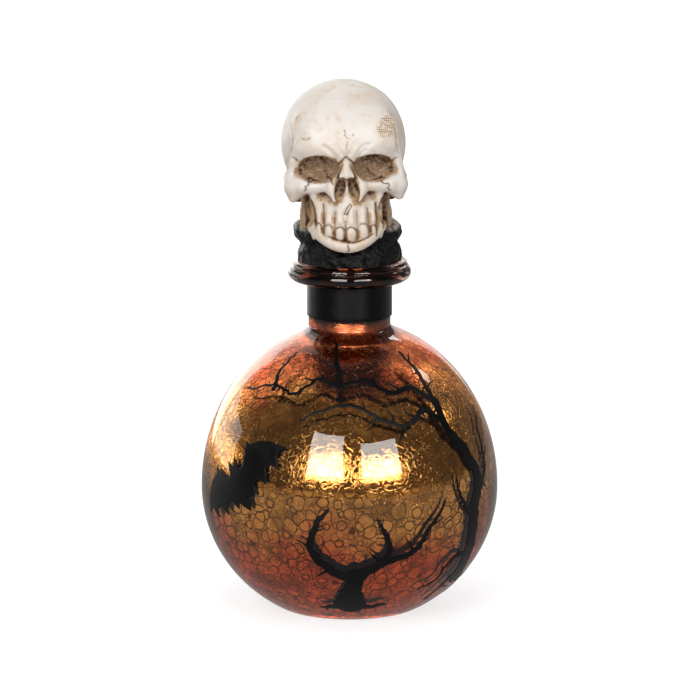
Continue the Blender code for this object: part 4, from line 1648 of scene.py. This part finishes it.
def make_world():
    world = bpy.data.worlds.new("white_room")
    world.use_nodes = True
    bpy.context.scene.world = world
    glow = ramp(backdrop_rays(world.node_tree), 0, 1, 0.4, 1.0)
    fill(world.node_tree.nodes["Background"], {"Color": tone(255, 255, 255), "Strength": glow})


def direction(azimuth, elevation):
    """Unit vector away from the object: azimuth 0 is the front, positive to the viewer's right."""
    azimuth, elevation = math.radians(azimuth), math.radians(elevation)
    level = math.cos(elevation)
    return Vector((math.sin(azimuth) * level, -math.cos(azimuth) * level, math.sin(elevation)))


def board_mesh(name, azimuths, elevations, distance):
    """A patch of a sphere round the object."""
    columns, rows = (max(1, math.ceil((end - start) / BOARD_STEP)) for start, end in (azimuths, elevations))
    points = []
    for row in range(rows + 1):
        elevation = elevations[0] + (elevations[1] - elevations[0]) * row / rows
        for column in range(columns + 1):
            azimuth = azimuths[0] + (azimuths[1] - azimuths[0]) * column / columns
            points.append(Vector(VIEW_AIM) + direction(azimuth, elevation) * distance)
    return new_mesh(name, points, grid_faces(rows + 1, columns + 1))


def make_boards():
    tables = ((dark_boards, BOARD_DISTANCE), (panels, PANEL_DISTANCE), (near_panels, NEAR_DISTANCE))
    for table, distance in tables:
        for name, (azimuths, elevations, strength) in table.items():
            add_glowing(name, board_mesh(name, azimuths, elevations, distance), strength)


def make_lamps():
    for name, (azimuth, elevation, side, power) in lamps.items():
        lamp = bpy.data.lights.new(name, "AREA")
        lamp.shape = "RECTANGLE"
        lamp.size = lamp.size_y = side
        lamp.energy = power
        thing = add_object(name, lamp)
        toward = direction(azimuth, elevation)
        thing.location = Vector(VIEW_AIM) + toward * LAMP_DISTANCE
        thing.rotation_mode = "QUATERNION"
        thing.rotation_quaternion = toward.to_track_quat("Z", "Y")
        thing.visible_glossy = False
        thing.visible_transmission = False


def make_camera():
    camera = bpy.data.cameras.new("camera")
    camera.sensor_width = SENSOR_SIDE / MM
    camera.lens = SENSOR_SIDE / MM * VIEW_DISTANCE / (PIXEL_SIZE * IMAGE_SIDE)
    thing = add_object("camera", camera)
    away = Vector((0, -math.cos(VIEW_ELEVATION), math.sin(VIEW_ELEVATION)))
    thing.location = Vector(VIEW_AIM) + away * VIEW_DISTANCE
    thing.rotation_euler = (math.pi / 2 - VIEW_ELEVATION, 0, 0)
    bpy.context.scene.camera = thing


make_camera()
make_glass()
make_prints()
make_ribbon()
dress_cork()
make_collar()
make_skull()
make_floor()
make_mat()
make_boards()
make_world()
make_lamps()
bpy.context.scene.view_settings.view_transform = "Standard"
